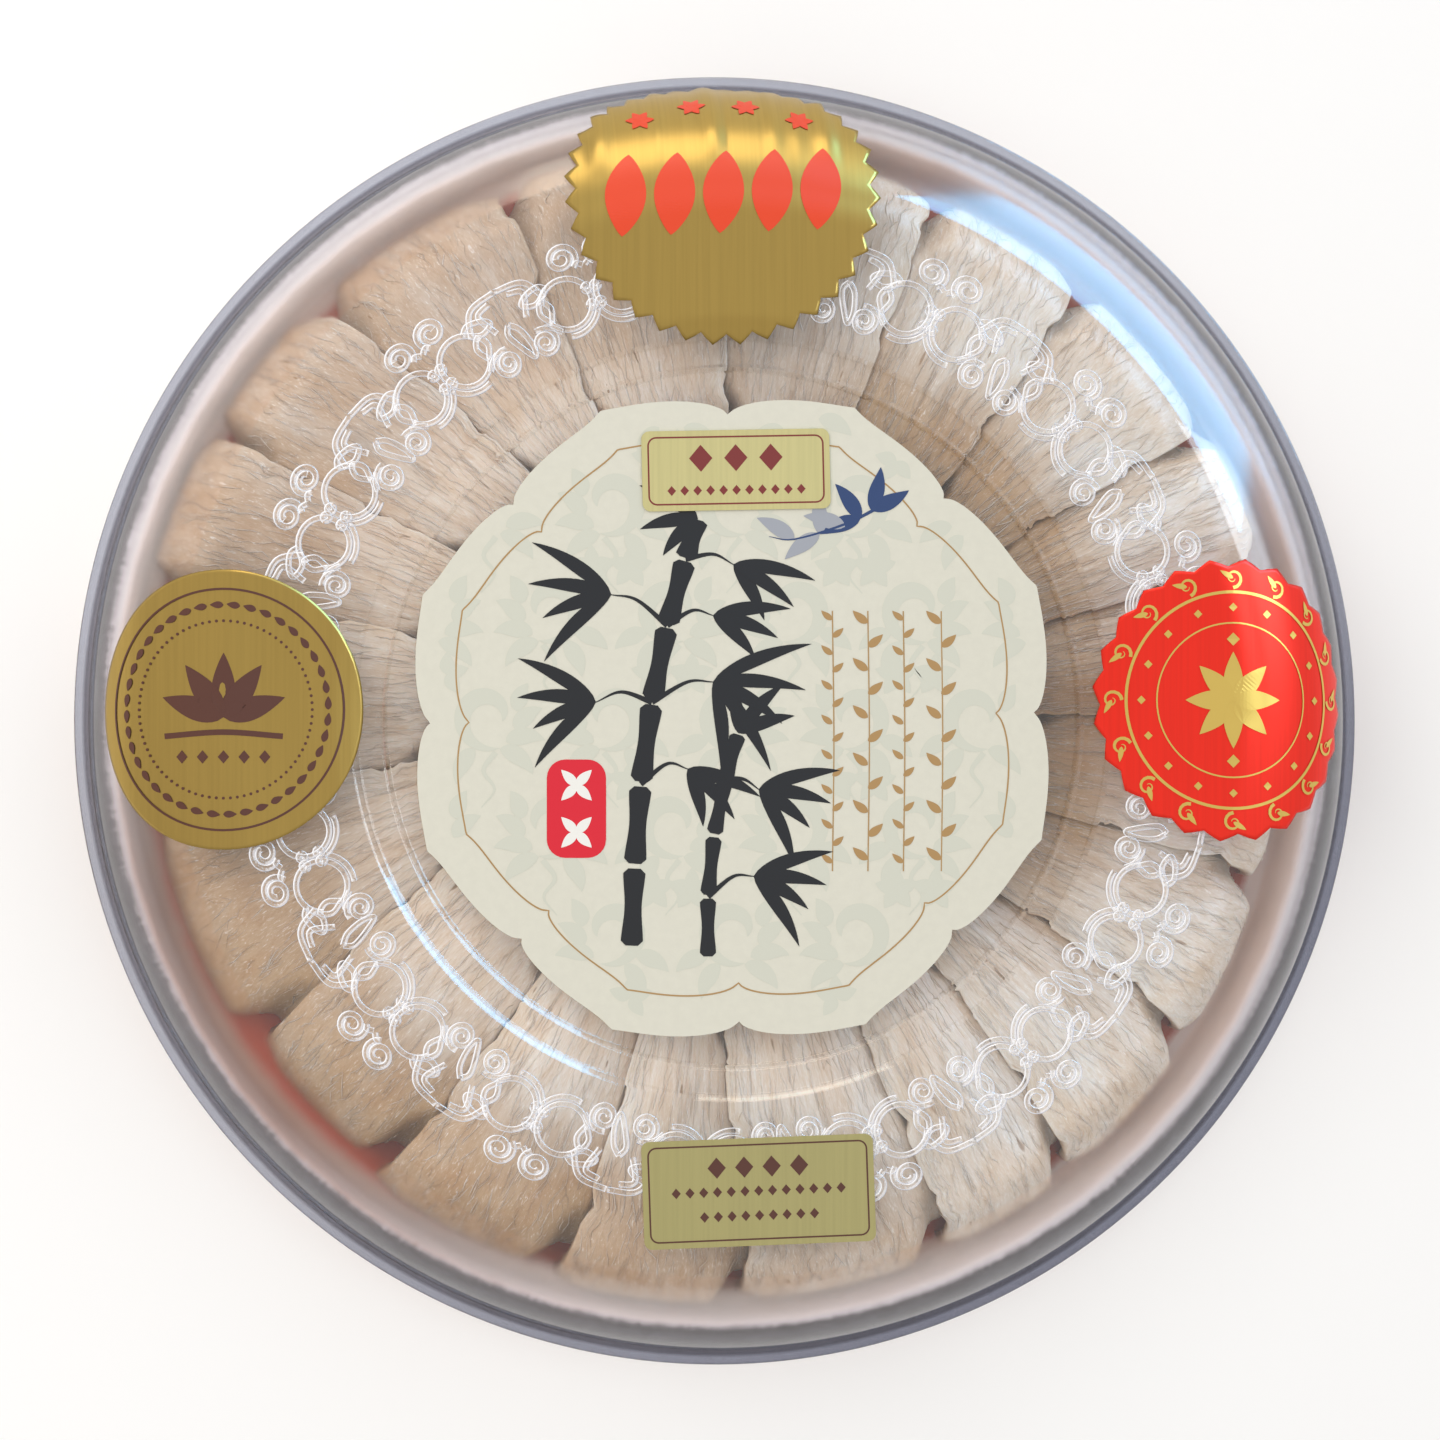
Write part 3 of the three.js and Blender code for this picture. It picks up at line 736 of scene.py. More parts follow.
def spread(nest, trait):
    """A fixed number from -1 to 1 for one trait of a nest."""
    return math.sin(12.9898 * (nest + 1) + 78.233 * trait)


def edge_angle(nest, radius):
    """Angle of a nest's free edge at a radius."""
    inner, outer = FREE_EDGES[nest % NEST_COUNT]
    share = (radius - NEST_INNER) / (NEST_OUTER - NEST_INNER)
    return inner + (outer - inner) * share + 360 * (nest // NEST_COUNT)


def outer_end(nest):
    """Radius of a nest's outer end."""
    return NEST_OUTER - SHORT_ENDS.get(nest % NEST_COUNT, 0) + END_SPREAD * spread(nest % NEST_COUNT, 1)


def inner_end(nest):
    """Radius of a nest's inner end."""
    return NEST_INNER + END_SPREAD * spread(nest % NEST_COUNT, 2)


def nest_ends(nest, beyond):
    """Radii of both ends by the share across a nest, which is over 1 in the tucked part."""
    tucked = smoothstep(beyond, TUCK_FROM, 1)
    corner = np.maximum(0, 1 - beyond / CORNER_SHARE)
    inner_tuck = max(inner_end(nest), inner_end(nest + 1)) + TUCK_SHORTER
    outer_tuck = min(outer_end(nest), outer_end(nest + 1)) - TUCK_SHORTER
    inner = inner_end(nest) + (inner_tuck - inner_end(nest)) * tucked
    outer = outer_end(nest) + (outer_tuck - outer_end(nest)) * tucked
    return inner, outer - CORNER_CUT * corner ** 2


def arch_height(nest, across, tuck):
    """Height of a nest's back by the shares across it and across its tucked part."""
    edge = SEAM_HEIGHT + SEAM_GAP + EDGE_THICKNESS
    crest = CREST_HEIGHT + CREST_SPREAD * spread(nest, 3)
    rising = edge + (crest - edge) * np.sin(np.pi / 2 * np.minimum(across / CREST_SHARE, 1))
    fall = np.clip((across - CREST_SHARE) / (1 - CREST_SHARE), 0, 1)
    falling = SEAM_HEIGHT + (crest - SEAM_HEIGHT) * np.cos(np.pi / 2 * fall)
    tucked = SEAM_HEIGHT * (1 - np.clip(tuck, 0, 1) ** TUCK_CURVE)
    return np.where(tuck > 0, tucked, np.where(across <= CREST_SHARE, rising, falling))


def end_rise(distance):
    """How much of its height a nest has at a distance from its end."""
    share = np.clip(distance / END_ROUND, 0, 1)
    return np.sqrt(1 - (1 - share) ** 2)


def worn_edge(nest, radius):
    """How far the free edge is worn back at a radius, in degrees."""
    wave = np.sin(0.31 * radius + 5 * nest) + 0.6 * np.sin(0.83 * radius + 2 * nest)
    wave = wave + 0.3 * np.sin(2.1 * radius)
    return EDGE_WEAR * np.maximum(0, wave)


def nest_surface(nest, along, across_all, hollow=False):
    """Points of a nest's back, or of its hollow side, by shares along it and across it."""
    across = np.minimum(across_all / (1 - TUCK_COLUMNS), 1)
    tuck = np.maximum(0, (across_all - 1 + TUCK_COLUMNS) / TUCK_COLUMNS)
    inner, outer = nest_ends(nest, across + tuck)
    if hollow:
        inner, outer = inner + END_WALL, outer - END_WALL
    radius = inner + (outer - inner) * (1 - np.cos(np.pi * along)) / 2
    start = edge_angle(nest, radius)
    angle = start + (edge_angle(nest + 1, radius) - start) * across + TUCK_ANGLE * tuck
    angle = angle + worn_edge(nest, radius) * (1 - smoothstep(across, 0, EDGE_SHARE))
    arch = arch_height(nest, across, tuck)
    if hollow:
        angle = angle - FOOT_ANGLE * across_all ** FOOT_CURVE
        thickness = EDGE_THICKNESS + (NEST_THICKNESS - EDGE_THICKNESS) * np.minimum(1, across / EDGE_SHARE)
        arch = np.maximum(0, arch - thickness)
    turn = np.radians(angle)
    height = NEST_FLOOR + arch * end_rise(radius - inner) * end_rise(outer - radius)
    return round_axis(radius, turn, height)


def streaks(rng, across, along, width, length):
    """Smooth random ridges of about that width and length, from -1 to 1."""
    x = across / width
    column = np.floor(x).astype(int)
    table = rng.uniform(-1, 1, (int(column.max()) + 2, int(along.max() / length) + 4))
    phase = rng.uniform(0, 1, table.shape[0])
    blend = smoothstep(x - column, 0, 1)

    def one(index):
        y = along / length + phase[index]
        row = np.floor(y).astype(int)
        share = smoothstep(y - row, 0, 1)
        return table[index, row] * (1 - share) + table[index, row + 1] * share

    return one(column) * (1 - blend) + one(column + 1) * blend


def across_mm(nest, across_all):
    """The distance across a nest for a share of its columns."""
    pitch = edge_angle(nest + 1, MIDDLE_RADIUS) - edge_angle(nest, MIDDLE_RADIUS)
    return across_all * math.radians(pitch) * MIDDLE_RADIUS / (1 - TUCK_COLUMNS)


def outward(points):
    """Outward directions over a grid of points of a nest's back."""
    return unit(np.cross(np.gradient(points, axis=0), np.gradient(points, axis=1)))


def nest_colour_and_painted_light(across_all, points, ridge, side_shade_and_tone):
    """Colour by the place on a nest and the height on its ridges.

    Nests are paler on the right and at the bottom's inner ends, which is painted light. Paler ridge tops
    and amber in the seams and between the ridges are painted light and shade, and amber at the right's
    inner ends is a painted shadow of the label. Nests are fibrous at the other inner ends and at the
    right's outer ends: pale fibres, which at the inner ends also stand for painted light against the
    label's shade.
    """
    across = across_all / (1 - TUCK_COLUMNS)
    radius = np.hypot(points[..., 0], points[..., 1])
    right = smoothstep(points[..., 0] / radius, -0.4, 0.6)
    inner = 1 - smoothstep(radius, 66, 90)
    upper = smoothstep(points[..., 1] / radius, -0.9, -0.3)
    white = (1 - upper) * (1 - smoothstep(radius, 80, 100))
    seam_shade = smoothstep(across, 0.66, 1.02)
    thin = 1 - smoothstep(across, 0, 0.18)
    low = np.clip(0.4 - 0.8 * ridge, 0, 1)
    # Paler on the right, at the bottom's inner ends and on the ridge tops: painted light.
    pale = np.clip(0.9 * np.maximum(right, white) + 0.25 * thin + 0.3 * np.clip(ridge, 0, 1), 0, 1)
    # Amber in the seams and hollows is painted shade; at the right's inner ends it is a painted shadow of
    # the label.
    amber = 0.25 * seam_shade + 0.15 * low + side_shade_and_tone * (1 - 0.8 * white) + 0.95 * inner * upper * right ** 2
    amber = np.clip(amber, 0, 1)
    # Pale fibres, which at the inner ends also stand for painted light against the label's shade.
    fibre_and_painted_light = 0.85 * inner * (1 - right * upper) + 0.55 * smoothstep(radius, 98, 112) * right
    colour = IVORY + (PALE - IVORY) * pale[..., None]
    colour = colour + (SHADE_AMBER - colour) * amber[..., None]
    return colour + (FIBRE - colour) * fibre_and_painted_light[..., None]


def strand_parts(nest, rng, side_shade_and_tone):
    """Vertices, faces, layer values and colours of the loose strands on a nest's back."""
    start = rng.uniform(0.02, 0.92, (STRANDS, 1)) ** 1.25
    length = rng.uniform(0.03, 0.11, (STRANDS, 1))
    end = np.minimum(start + length, 0.985)
    middle = rng.uniform(0.01, 0.78, (STRANDS, 1))
    drift = rng.normal(0, 0.022, (STRANDS, 1))
    wave = rng.normal(0, 0.005, (STRANDS, 1))
    phase = rng.uniform(0, 2 * np.pi, (STRANDS, 1))
    lift = rng.uniform(0.0, 0.1, (STRANDS, 1))
    width = rng.uniform(0.06, 0.15, (STRANDS, 1))
    pale = rng.uniform(0, 1, STRANDS)
    share = np.linspace(0, 1, STRAND_STEPS)[None]
    along = start + (end - start) * share
    across = np.clip(middle + drift * (share - 0.5) + wave * np.sin(phase + 7 * share), 0.004, 0.82)
    points = nest_surface(nest, along, across)
    step = 0.004
    ahead = nest_surface(nest, np.minimum(along + step, 1), across)
    ahead = ahead - nest_surface(nest, along - step, across)
    aside = nest_surface(nest, along, across + step) - nest_surface(nest, along, across - step)
    out = unit(np.cross(ahead, aside))
    side = unit(np.cross(out, np.gradient(points, axis=1)))
    taper = (np.maximum(np.sin(np.pi * share) ** 0.45, 0.12) * width)[..., None]
    rise = (lift * np.sin(np.pi * share) ** 0.5 + 0.04)[..., None]
    centre = points + out * rise
    ring = [centre - side * taper, centre + out * taper, centre + side * taper, centre - out * taper]
    vertices = np.stack(ring, 2)
    index = np.arange(vertices[..., 0].size).reshape(STRANDS, STRAND_STEPS, 4)
    around = np.roll(index, -1, 2)
    quads = np.stack([index[:, :-1], around[:, :-1], around[:, 1:], index[:, 1:]], -1).reshape(-1, 4)
    caps = np.concatenate([index[:, 0, ::-1], index[:, -1]])
    # Strands take the nest's colour with its painted light and shade, then some are made paler.
    colours = nest_colour_and_painted_light(across, points, 0 * across, side_shade_and_tone)
    colours = colours + (WHITE - colours) * (STRAND_PALENESS * pale)[:, None, None]
    colours = np.broadcast_to(colours[:, :, None], vertices.shape)
    layer = np.stack([
        np.broadcast_to(across_mm(nest, across)[..., None], vertices.shape[:3]),
        np.broadcast_to((along * NEST_LENGTH)[..., None], vertices.shape[:3]),
    ], -1)
    return vertices.reshape(-1, 3), np.concatenate([quads, caps]).tolist(), layer, colours.reshape(-1, 3)


def make_nest(nest):
    """A nest's shell with ridges, and its loose strands, as one piece."""
    name = f"nest_{nest + 1:02d}"
    rng = np.random.default_rng(SEED + nest)
    rows, columns = np.linspace(0, 1, NEST_ROWS), np.linspace(0, 1, NEST_COLUMNS)
    along, across = np.meshgrid(rows, columns, indexing="ij")
    upper = nest_surface(nest, along, across)
    lower = nest_surface(nest, along, across, True)
    x, y = across_mm(nest, across), along * NEST_LENGTH
    ridge = sum(share * streaks(rng, x, y, width, length) for share, width, length in RIDGES)
    inside = smoothstep(along, 0, 0.1) * smoothstep(1 - along, 0, 0.1) * smoothstep(1 - across, 0.2, 0.35)
    upper = upper + outward(upper) * (RIDGE_RISE * ridge * inside)[..., None]
    parts = Parts()
    vertices, faces = closed_sheet(upper, lower)
    layer = np.stack([x, y], -1).reshape(-1, 2) + (LAYER_STEP * nest, 0)
    parts.add(vertices, faces, 0, np.concatenate([layer, layer]))
    # Nests on one side of the box get painted shade in amber, plus a little random tone.
    apart = math.radians(FREE_EDGES[nest][1] + HALF_NEST - NEST_SHADE_SIDE)
    side_shade_and_tone = 0.05 + 0.55 * max(0, math.cos(apart)) ** 1.5 + 0.05 * spread(nest, 5)
    tint = nest_colour_and_painted_light(across, upper, ridge, side_shade_and_tone).reshape(-1, 3)
    # The hollow side is a darker amber: painted shade under the nest.
    under = np.broadcast_to(SHADE_AMBER + 0.4 * (IVORY - SHADE_AMBER), tint.shape)
    strands, strand_faces, strand_layer, strand_tint = strand_parts(nest, rng, side_shade_and_tone)
    parts.add(strands, strand_faces, 0, strand_layer + (LAYER_STEP * nest, 0))
    shown = parts.piece(name + "_strands", [NEST], [name])
    colours = np.concatenate([tint, under, strand_tint])
    colours = np.concatenate([colours, np.ones((len(colours), 1))], 1)
    attribute = shown.data.color_attributes.new("tint", "FLOAT_COLOR", "POINT")
    attribute.data.foreach_set("color", colours.ravel())


for nest_index in range(NEST_COUNT):
    make_nest(nest_index)


def make_liner():
    """The red card on the floor, with its edge turned up in the base's corner as far as the strip."""
    foot = BASE_RADIUS - BASE_DRAFT - BASE_ROUND
    middle = FLOOR + BASE_ROUND - WALL
    bend = middle - LINER_BOTTOM
    lean = LINER_LEAN * (LINER_TOP - middle)
    profile = [
        (0, LINER_BOTTOM, 0),
        *arc(foot, middle, bend, -90, 0, 8),
        (foot + bend + lean, LINER_TOP, 0),
        (foot + bend + lean - LINER_CARD, LINER_TOP, 0),
        *arc(foot, middle, bend - LINER_CARD, 0, -90, 8),
        (0, LINER_BOTTOM + LINER_CARD, 0),
    ]
    parts = Parts()
    parts.add(*revolved([(radius, height) for radius, height, _ in profile]))
    parts.piece("liner_dish", [LINER], ["liner"])


make_liner()
strip_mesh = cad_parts["liner_strip"].data
strip_mesh.materials.clear()
strip_mesh.materials.append(LINER)


# Clear box

def make_base():
    """The clear tray, with its flange and the rib for the lid."""
    foot = BASE_RADIUS - BASE_DRAFT - BASE_ROUND
    inner_round = BASE_ROUND - WALL
    profile = rounded([
        (0, 0, 0),
        *arc(foot, BASE_ROUND, BASE_ROUND, -90, 0, 10),
        (BASE_RADIUS, BASE_TOP - FLANGE, 0.6),
        (BOX_RADIUS, BASE_TOP - FLANGE, 0.5),
        (BOX_RADIUS, BASE_TOP, 0.5),
        (SPIGOT_RADIUS, BASE_TOP, 0.3),
        (SPIGOT_RADIUS, BASE_TOP + SPIGOT_HEIGHT, 0.3),
        (SPIGOT_RADIUS - SPIGOT_WALL, BASE_TOP + SPIGOT_HEIGHT, 0.3),
        *arc(foot, FLOOR + inner_round, inner_round, 0, -90, 10),
        (0, FLOOR, 0),
    ])
    parts = Parts()
    parts.add(*revolved(profile))
    return parts.piece("base_shell", [CLEAR_BASE], ["base"])


def make_lid():
    """The clear lid, whose shoulder and flange have a material of their own."""
    springing = BOX_HEIGHT - SHOULDER
    inner = LID_RADIUS - WALL
    profile = rounded([
        (0, SUNK_TOP - WALL, 0),
        (SUNK_RADIUS, SUNK_TOP - WALL, 1.0),
        (LEDGE_INNER, LEDGE_TOP - WALL, 0.8),
        (LEDGE_OUTER, LEDGE_TOP - WALL, 2.0),
        (RING_INNER, BOX_HEIGHT - WALL, 1.6),
        *arc(SHOULDER_CENTRE, springing, SHOULDER - WALL, 90, 0, 40),
        (inner, LID_BOTTOM, 0.3),
        (BOX_RADIUS, LID_BOTTOM, 0.5),
        (BOX_RADIUS, LID_BOTTOM + FLANGE, 0.5),
        (LID_RADIUS, LID_BOTTOM + FLANGE, 0.6),
        *arc(SHOULDER_CENTRE, springing, SHOULDER, 0, 90, 40),
        (RING_INNER, BOX_HEIGHT, 2.0),
        (LEDGE_OUTER, LEDGE_TOP, 1.6),
        (LEDGE_INNER, LEDGE_TOP, 1.0),
        (SUNK_RADIUS, SUNK_TOP, 0.8),
        (0, SUNK_TOP, 0),
    ])
    vertices, faces = revolved(profile)
    reach = np.hypot(vertices[:, 0], vertices[:, 1])
    parts = Parts()
    parts.add(vertices, faces)
    nearest = [min(reach[face]) for face in faces]
    parts.materials = [int(r > BLUR_RADIUS) for r in nearest]
    return parts.piece("lid_shell", [CLEAR_LID, CLEAR_SHOULDER], ["lid"])


def circle(x, y, radius, start=0, end=360, steps=28):
    """Path of a circle or an arc."""
    return polar(radius, np.radians(np.linspace(start, end, steps + 1))) + (x, y)


def spiral(x, y, outer, inner, start, rounds, steps=34):
    """Path of a spiral that winds in or out."""
    turn = np.radians(start) + np.linspace(0, 2 * np.pi * rounds, steps + 1)
    return polar(np.linspace(outer, inner, steps + 1), turn) + (x, y)


def curve(*points, steps=16):
    """A smooth path through a few points."""
    points = np.asarray(points, float)
    padded = np.concatenate([[2 * points[0] - points[1]], points, [2 * points[-1] - points[-2]]])
    path = []
    for a, b, c, d in zip(padded, padded[1:], padded[2:], padded[3:]):
        for t in np.linspace(0, 1, steps // (len(points) - 1) + 1)[:-1]:
            path.append(0.5 * (2 * b + (c - a) * t + (2 * a - 5 * b + 4 * c - d) * t ** 2
                               + (3 * b - a - 3 * c + d) * t ** 3))
    path.append(points[-1])
    return np.array(path)


def mirrored(path):
    """A path with its left and right exchanged."""
    return (np.asarray(path) * (-1, 1))[::-1]


def ornament_paths():
    """One repeat of the moulded scrolls: x round the lid from the knot, y outwards."""
    half = math.pi * ORNAMENT_RADIUS / ORNAMENT_REPEATS
    side = [
        circle(5.6, 0, 5.0, 20, 340, 26),
        circle(5.6, -0.2, 6.2, 205, 285, 12),
        circle(0.9, 1.7, 0.7, steps=10),
        circle(0.9, -1.7, 0.7, steps=10),
        spiral(3.6, 8.6, 2.8, 0.9, 230, -1.6),
        curve((0.2, 6.2), (1.3, 6.9), (2.0, 6.3)),
        curve((8.2, 4.4), (9.8, 5.4), (12.6, 4.6), (13.6, 3.2), (11.0, 2.4), (8.2, 4.4), steps=25),
        curve((9.1, 2.9), (11.7, 7.4), (17.0, 8.3)),
        curve((15.2, 6.8), (12.4, 5.6), (13.8, 1.0)),
        curve((9.8, -2.4), (11.2, 0.2), (10.2, 2.4), (8.8, 0.4), (9.8, -2.4), steps=20),
        spiral(half - 4.4, -5.1, 2.9, 0.8, 70, 1.8),
        curve((half - 5.4, -2.3), (10.0, -3.2), (8.6, -4.6)),
    ]
    drop = [curve((half + 0.6, 1.4), (half + 1.6, -0.6), (half + 0.2, -4.4), (half - 1.2, -6.6),
                  (half - 1.8, -4.4), (half - 1.0, -0.6), (half + 0.6, 1.4), steps=36)]
    return side + [mirrored(path) for path in side] + drop


def make_ornament():
    """The moulded scrolls round the lid's ring."""
    parts = Parts()
    for repeat in range(ORNAMENT_REPEATS):
        place = ring_place(ORNAMENT_TURN + repeat * 360 / ORNAMENT_REPEATS)
        for number, path in enumerate(ornament_paths()):
            height = RIDGE_HEIGHT - RIDGE_STEP * number
            ridge = ribbon(path, RIDGE_HALF_WIDTH, place, ORNAMENT_LIFT, height, RIDGE_SECTION)
            across = np.tile([offset for offset, _ in RIDGE_SECTION], len(path))
            parts.add(*ridge, uv=np.stack([across, 0 * across], 1))
    return parts.piece("lid_ornament", [CLEAR_ORNAMENT])


for clear_piece in (make_base(), make_lid(), make_ornament()):
    clear_piece.visible_shadow = False
    clear_piece.visible_diffuse = False


# Label

def label_radius(turn):
    """Radius of the label's edge at an angle in radians."""
    units = (turn - math.radians(LABEL_TURN)) * LABEL_UNITS / (2 * math.pi)
    number = np.round(units)
    share = np.abs(units - number) * 2
    full, flat = (lobe["rise"] * share ** lobe["curve"] + lobe["tip"] * share ** TIP_CURVE
                  for lobe in (FULL_LOBE, FLAT_LOBE))
    return LABEL_NOTCH + np.where(number % 2 == 0, full, flat)


def label_outline(scale=1.0, steps=640):
    """Outline of the label, or of a smaller copy."""
    return polar(label_radius(turns(steps)) * scale, turns(steps))


def closed(path):
    """A path that ends where it starts."""
    return np.concatenate([path, path[:1]])


def leaf(x, y, angle, length, width, bend=0.0):
    """Path and half widths of a pointed leaf from its stem end."""
    share = np.linspace(0, 1, LEAF_STEPS + 1)
    turn = np.radians(angle + bend * (share - 0.5))
    step = length / LEAF_STEPS
    path = np.stack([np.cumsum(np.cos(turn)) * step, np.cumsum(np.sin(turn)) * step], 1)
    return path - path[0] + (x, y), width / 2 * np.sin(np.pi * share ** 0.75) ** 0.9 + 0.02


def brush(path, width):
    """Path and half widths of a brush stroke that swells at both ends."""
    share = np.linspace(0, 1, len(path))
    swell = 0.88 + 0.12 * np.cos(2 * np.pi * share)
    return path, width / 2 * swell * np.minimum(1, 14 * np.minimum(share, 1 - share) + 0.55)


def tapered(path, width):
    """Path and half widths of a stroke that thins towards its end."""
    share = np.linspace(0, 1, len(path))
    return path, width / 2 * (1 - 0.85 * share)


def swelling(path, width):
    """Path and half widths of a stroke that is widest in its middle."""
    share = np.linspace(0, 1, len(path))
    return path, width / 2 * np.sin(np.pi * share) ** 0.8 + 0.02


def damask_motif():
    """A curling leaf with side leaves and a flower, round (0, 0)."""
    motif = [swelling(spiral(0, 0, 6.4, 2.8, 250, 0.85, 30), 3.4)]
    motif += [leaf(*foot, angle, length, 3.4, bend) for foot, angle, length, bend in (
        ((-2.2, -6.2), 215, 8.5, 60), ((-3.4, -4.8), 175, 8.0, 60), ((-5.2, -2.4), 140, 7.0, 50),
        ((-5.6, 1.2), 110, 6.0, 40), ((2.6, -6.2), 300, 8.0, -50), ((4.8, -4.4), 335, 7.5, -50),
    )]
    motif += [leaf(8.2, 8.4, angle, 4.4, 2.8) for angle in range(20, 380, 72)]
    motif += [tapered(curve((-1.4, -6.8), (1.0, -10.4), (-1.2, -14.0), (1.4, -17.6)), 1.2)]
    return motif


def damask_strokes():
    """Faint leaf scrolls in staggered rows, clear of the label's edge."""
    strokes = []
    for row in range(-3, 4):
        for column in range(-3, 4):
            middle = np.array([DAMASK_WIDE * (column + row % 2 / 2), DAMASK_TALL * row])
            flip = (1 if (row + column) % 2 else -1, 1)
            for path, width in damask_motif():
                path = path * flip + middle
                reach = np.hypot(path[:, 0], path[:, 1])
                edge = label_radius(np.arctan2(path[:, 1], path[:, 0]))
                if np.all(reach < edge - DAMASK_CLEAR):
                    strokes.append((path, width))
    return strokes


def bamboo_strokes():
    """Two bamboo stalks in ink, with twigs and sprays of drooping leaves."""
    strokes = []
    for stalk, width in STALKS:
        for start, end in zip(stalk, stalk[1:]):
            start, end = np.array(start, float), np.array(end, float)
            joint = (end - start) * JOINT_GAP
            strokes.append(brush(curve(start + joint, (start + end) / 2, end - joint), width))
    strokes += [tapered(curve(*twig), 1.1) for twig in TWIGS]
    for x, y, angles, length in SPRAYS:
        for number, angle in enumerate(angles):
            droop = -24 if math.cos(math.radians(angle)) > 0 else 24
            strokes.append(leaf(x, y, angle, length * (1.1 - 0.13 * (number % 3)), 2.7, droop))
    return strokes


def garland_strokes(x, top, bottom, size):
    """A thin upright stem with a leaf to each side in turn."""
    count = int((top - bottom) / (1.15 * size))
    strokes = [(curve((x, top), (x + 0.3, (top + bottom) / 2), (x, bottom)), 0.12)]
    for number in range(count):
        side = 1 if number % 2 else -1
        y = top - (number + 0.5) * (top - bottom) / count
        strokes.append(leaf(x, y, 90 - 52 * side, size, 0.42 * size, 20 * side))
    return strokes


def lozenge(x, y, width, height):
    """Outline of a lozenge round a place."""
    return np.array([(x + width / 2, y), (x, y + height / 2), (x - width / 2, y), (x, y - height / 2)])


def rounded_box(width, height, corner, steps=6):
    """Outline of a rectangle with rounded corners, round its middle."""
    path = []
    x, y = width / 2 - corner, height / 2 - corner
    for right, up, start in ((1, 1, 0), (-1, 1, 90), (-1, -1, 180), (1, -1, 270)):
        path.append(circle(right * x, up * y, corner, start, start + 90, steps))
    return np.concatenate(path)


def make_label():
    """The card in the lid's sunk centre, and its print in layers."""
    place = flat_place(LABEL_BOTTOM)
    card = Parts()
    card.add(*plate_solid(label_outline(), place, 0, CARD))
    card.piece("label_card", [CREAM], ["label"], smooth=False)
    printed = Parts()
    inks = [DAMASK, GOLD_LINE, INK, STAMP, WHITE_INK, BLUE_INK, GREY_INK]

    def draw(ink, layer, path, half_width):
        lift = CARD + PRINT * layer + printed.small_step()
        printed.add(*ribbon(path, half_width, place, lift, PRINT), inks.index(ink))

    for stroke in damask_strokes():
        draw(DAMASK, 0, *stroke)
    draw(GOLD_LINE, 1, closed(label_outline(EDGE_LINE)), 0.15)
    for stroke in bamboo_strokes():
        draw(INK, 2, *stroke)
    stamp = rounded_box(*STAMP_SIZE) + STAMP_PLACE
    printed.add(*plate_solid(stamp, place, CARD + 2 * PRINT, PRINT), inks.index(STAMP))
    for y in (-4.6, 4.6):
        for angle in range(45, 405, 90):
            draw(WHITE_INK, 3, *leaf(STAMP_PLACE[0], STAMP_PLACE[1] + y, angle, 4.2, 1.9))
    for x, size in GARLANDS:
        for stroke in garland_strokes(x, GARLAND_TOP, GARLAND_BOTTOM, size):
            draw(GOLD_LINE, 1, *stroke)
    for ink, leaves in ((BLUE_INK, BLUE_LEAVES), (GREY_INK, GREY_LEAVES)):
        for x, y, angle in leaves:
            draw(ink, 2, *leaf(x, y, angle, 8.5, 3.0, 20))
    draw(BLUE_INK, 2, *tapered(curve(*SPRIG_STEM), 0.7))
    printed.piece("label_print", inks, smooth=False)


make_label()


# Flat stickers

def make_plate(name, plate, height, foil, ink, rows):
    """A flat foil sticker with a frame line and rows of small lozenges, given as (height, count, size)."""
    place = flat_place(height, plate["x"], plate["y"], plate["turn"])
    width, tall = plate["width"], plate["height"]
    sheet = Parts()
    sheet.add(*plate_solid(rounded_box(width, tall, PLATE_CORNER), place, 0, STICKER))
    sheet.piece(name + "_foil", [foil], [name], smooth=False)
    printed = Parts()
    frame_line = closed(rounded_box(width - FRAME_INSET, tall - FRAME_INSET, PLATE_CORNER))
    printed.add(*ribbon(frame_line, 0.16, place, STICKER, PRINT))
    for y, count, size in rows:
        for number in range(count):
            x = (number - (count - 1) / 2) * size * 1.5
            printed.add(*plate_solid(lozenge(x, y, size, size * 1.15), place, STICKER, PRINT))
    printed.piece(name + "_print", [ink], smooth=False)


make_plate("label_plate", LABEL_PLATE, LABEL_BOTTOM + CARD + 5 * PRINT, PALE_GOLD, DARK_RED_INK,
           [(2.4, 3, 4.6), (-3.9, 11, 1.7)])
make_plate("tip_plate", TIP_PLATE, BOX_HEIGHT + RIDGE_HEIGHT + STICKER_LIFT, DULL_GOLD, BROWN_INK,
           [(4.9, 4, 3.6), (0.2, 13, 1.8), (-4.6, 9, 1.8)])


# Seals

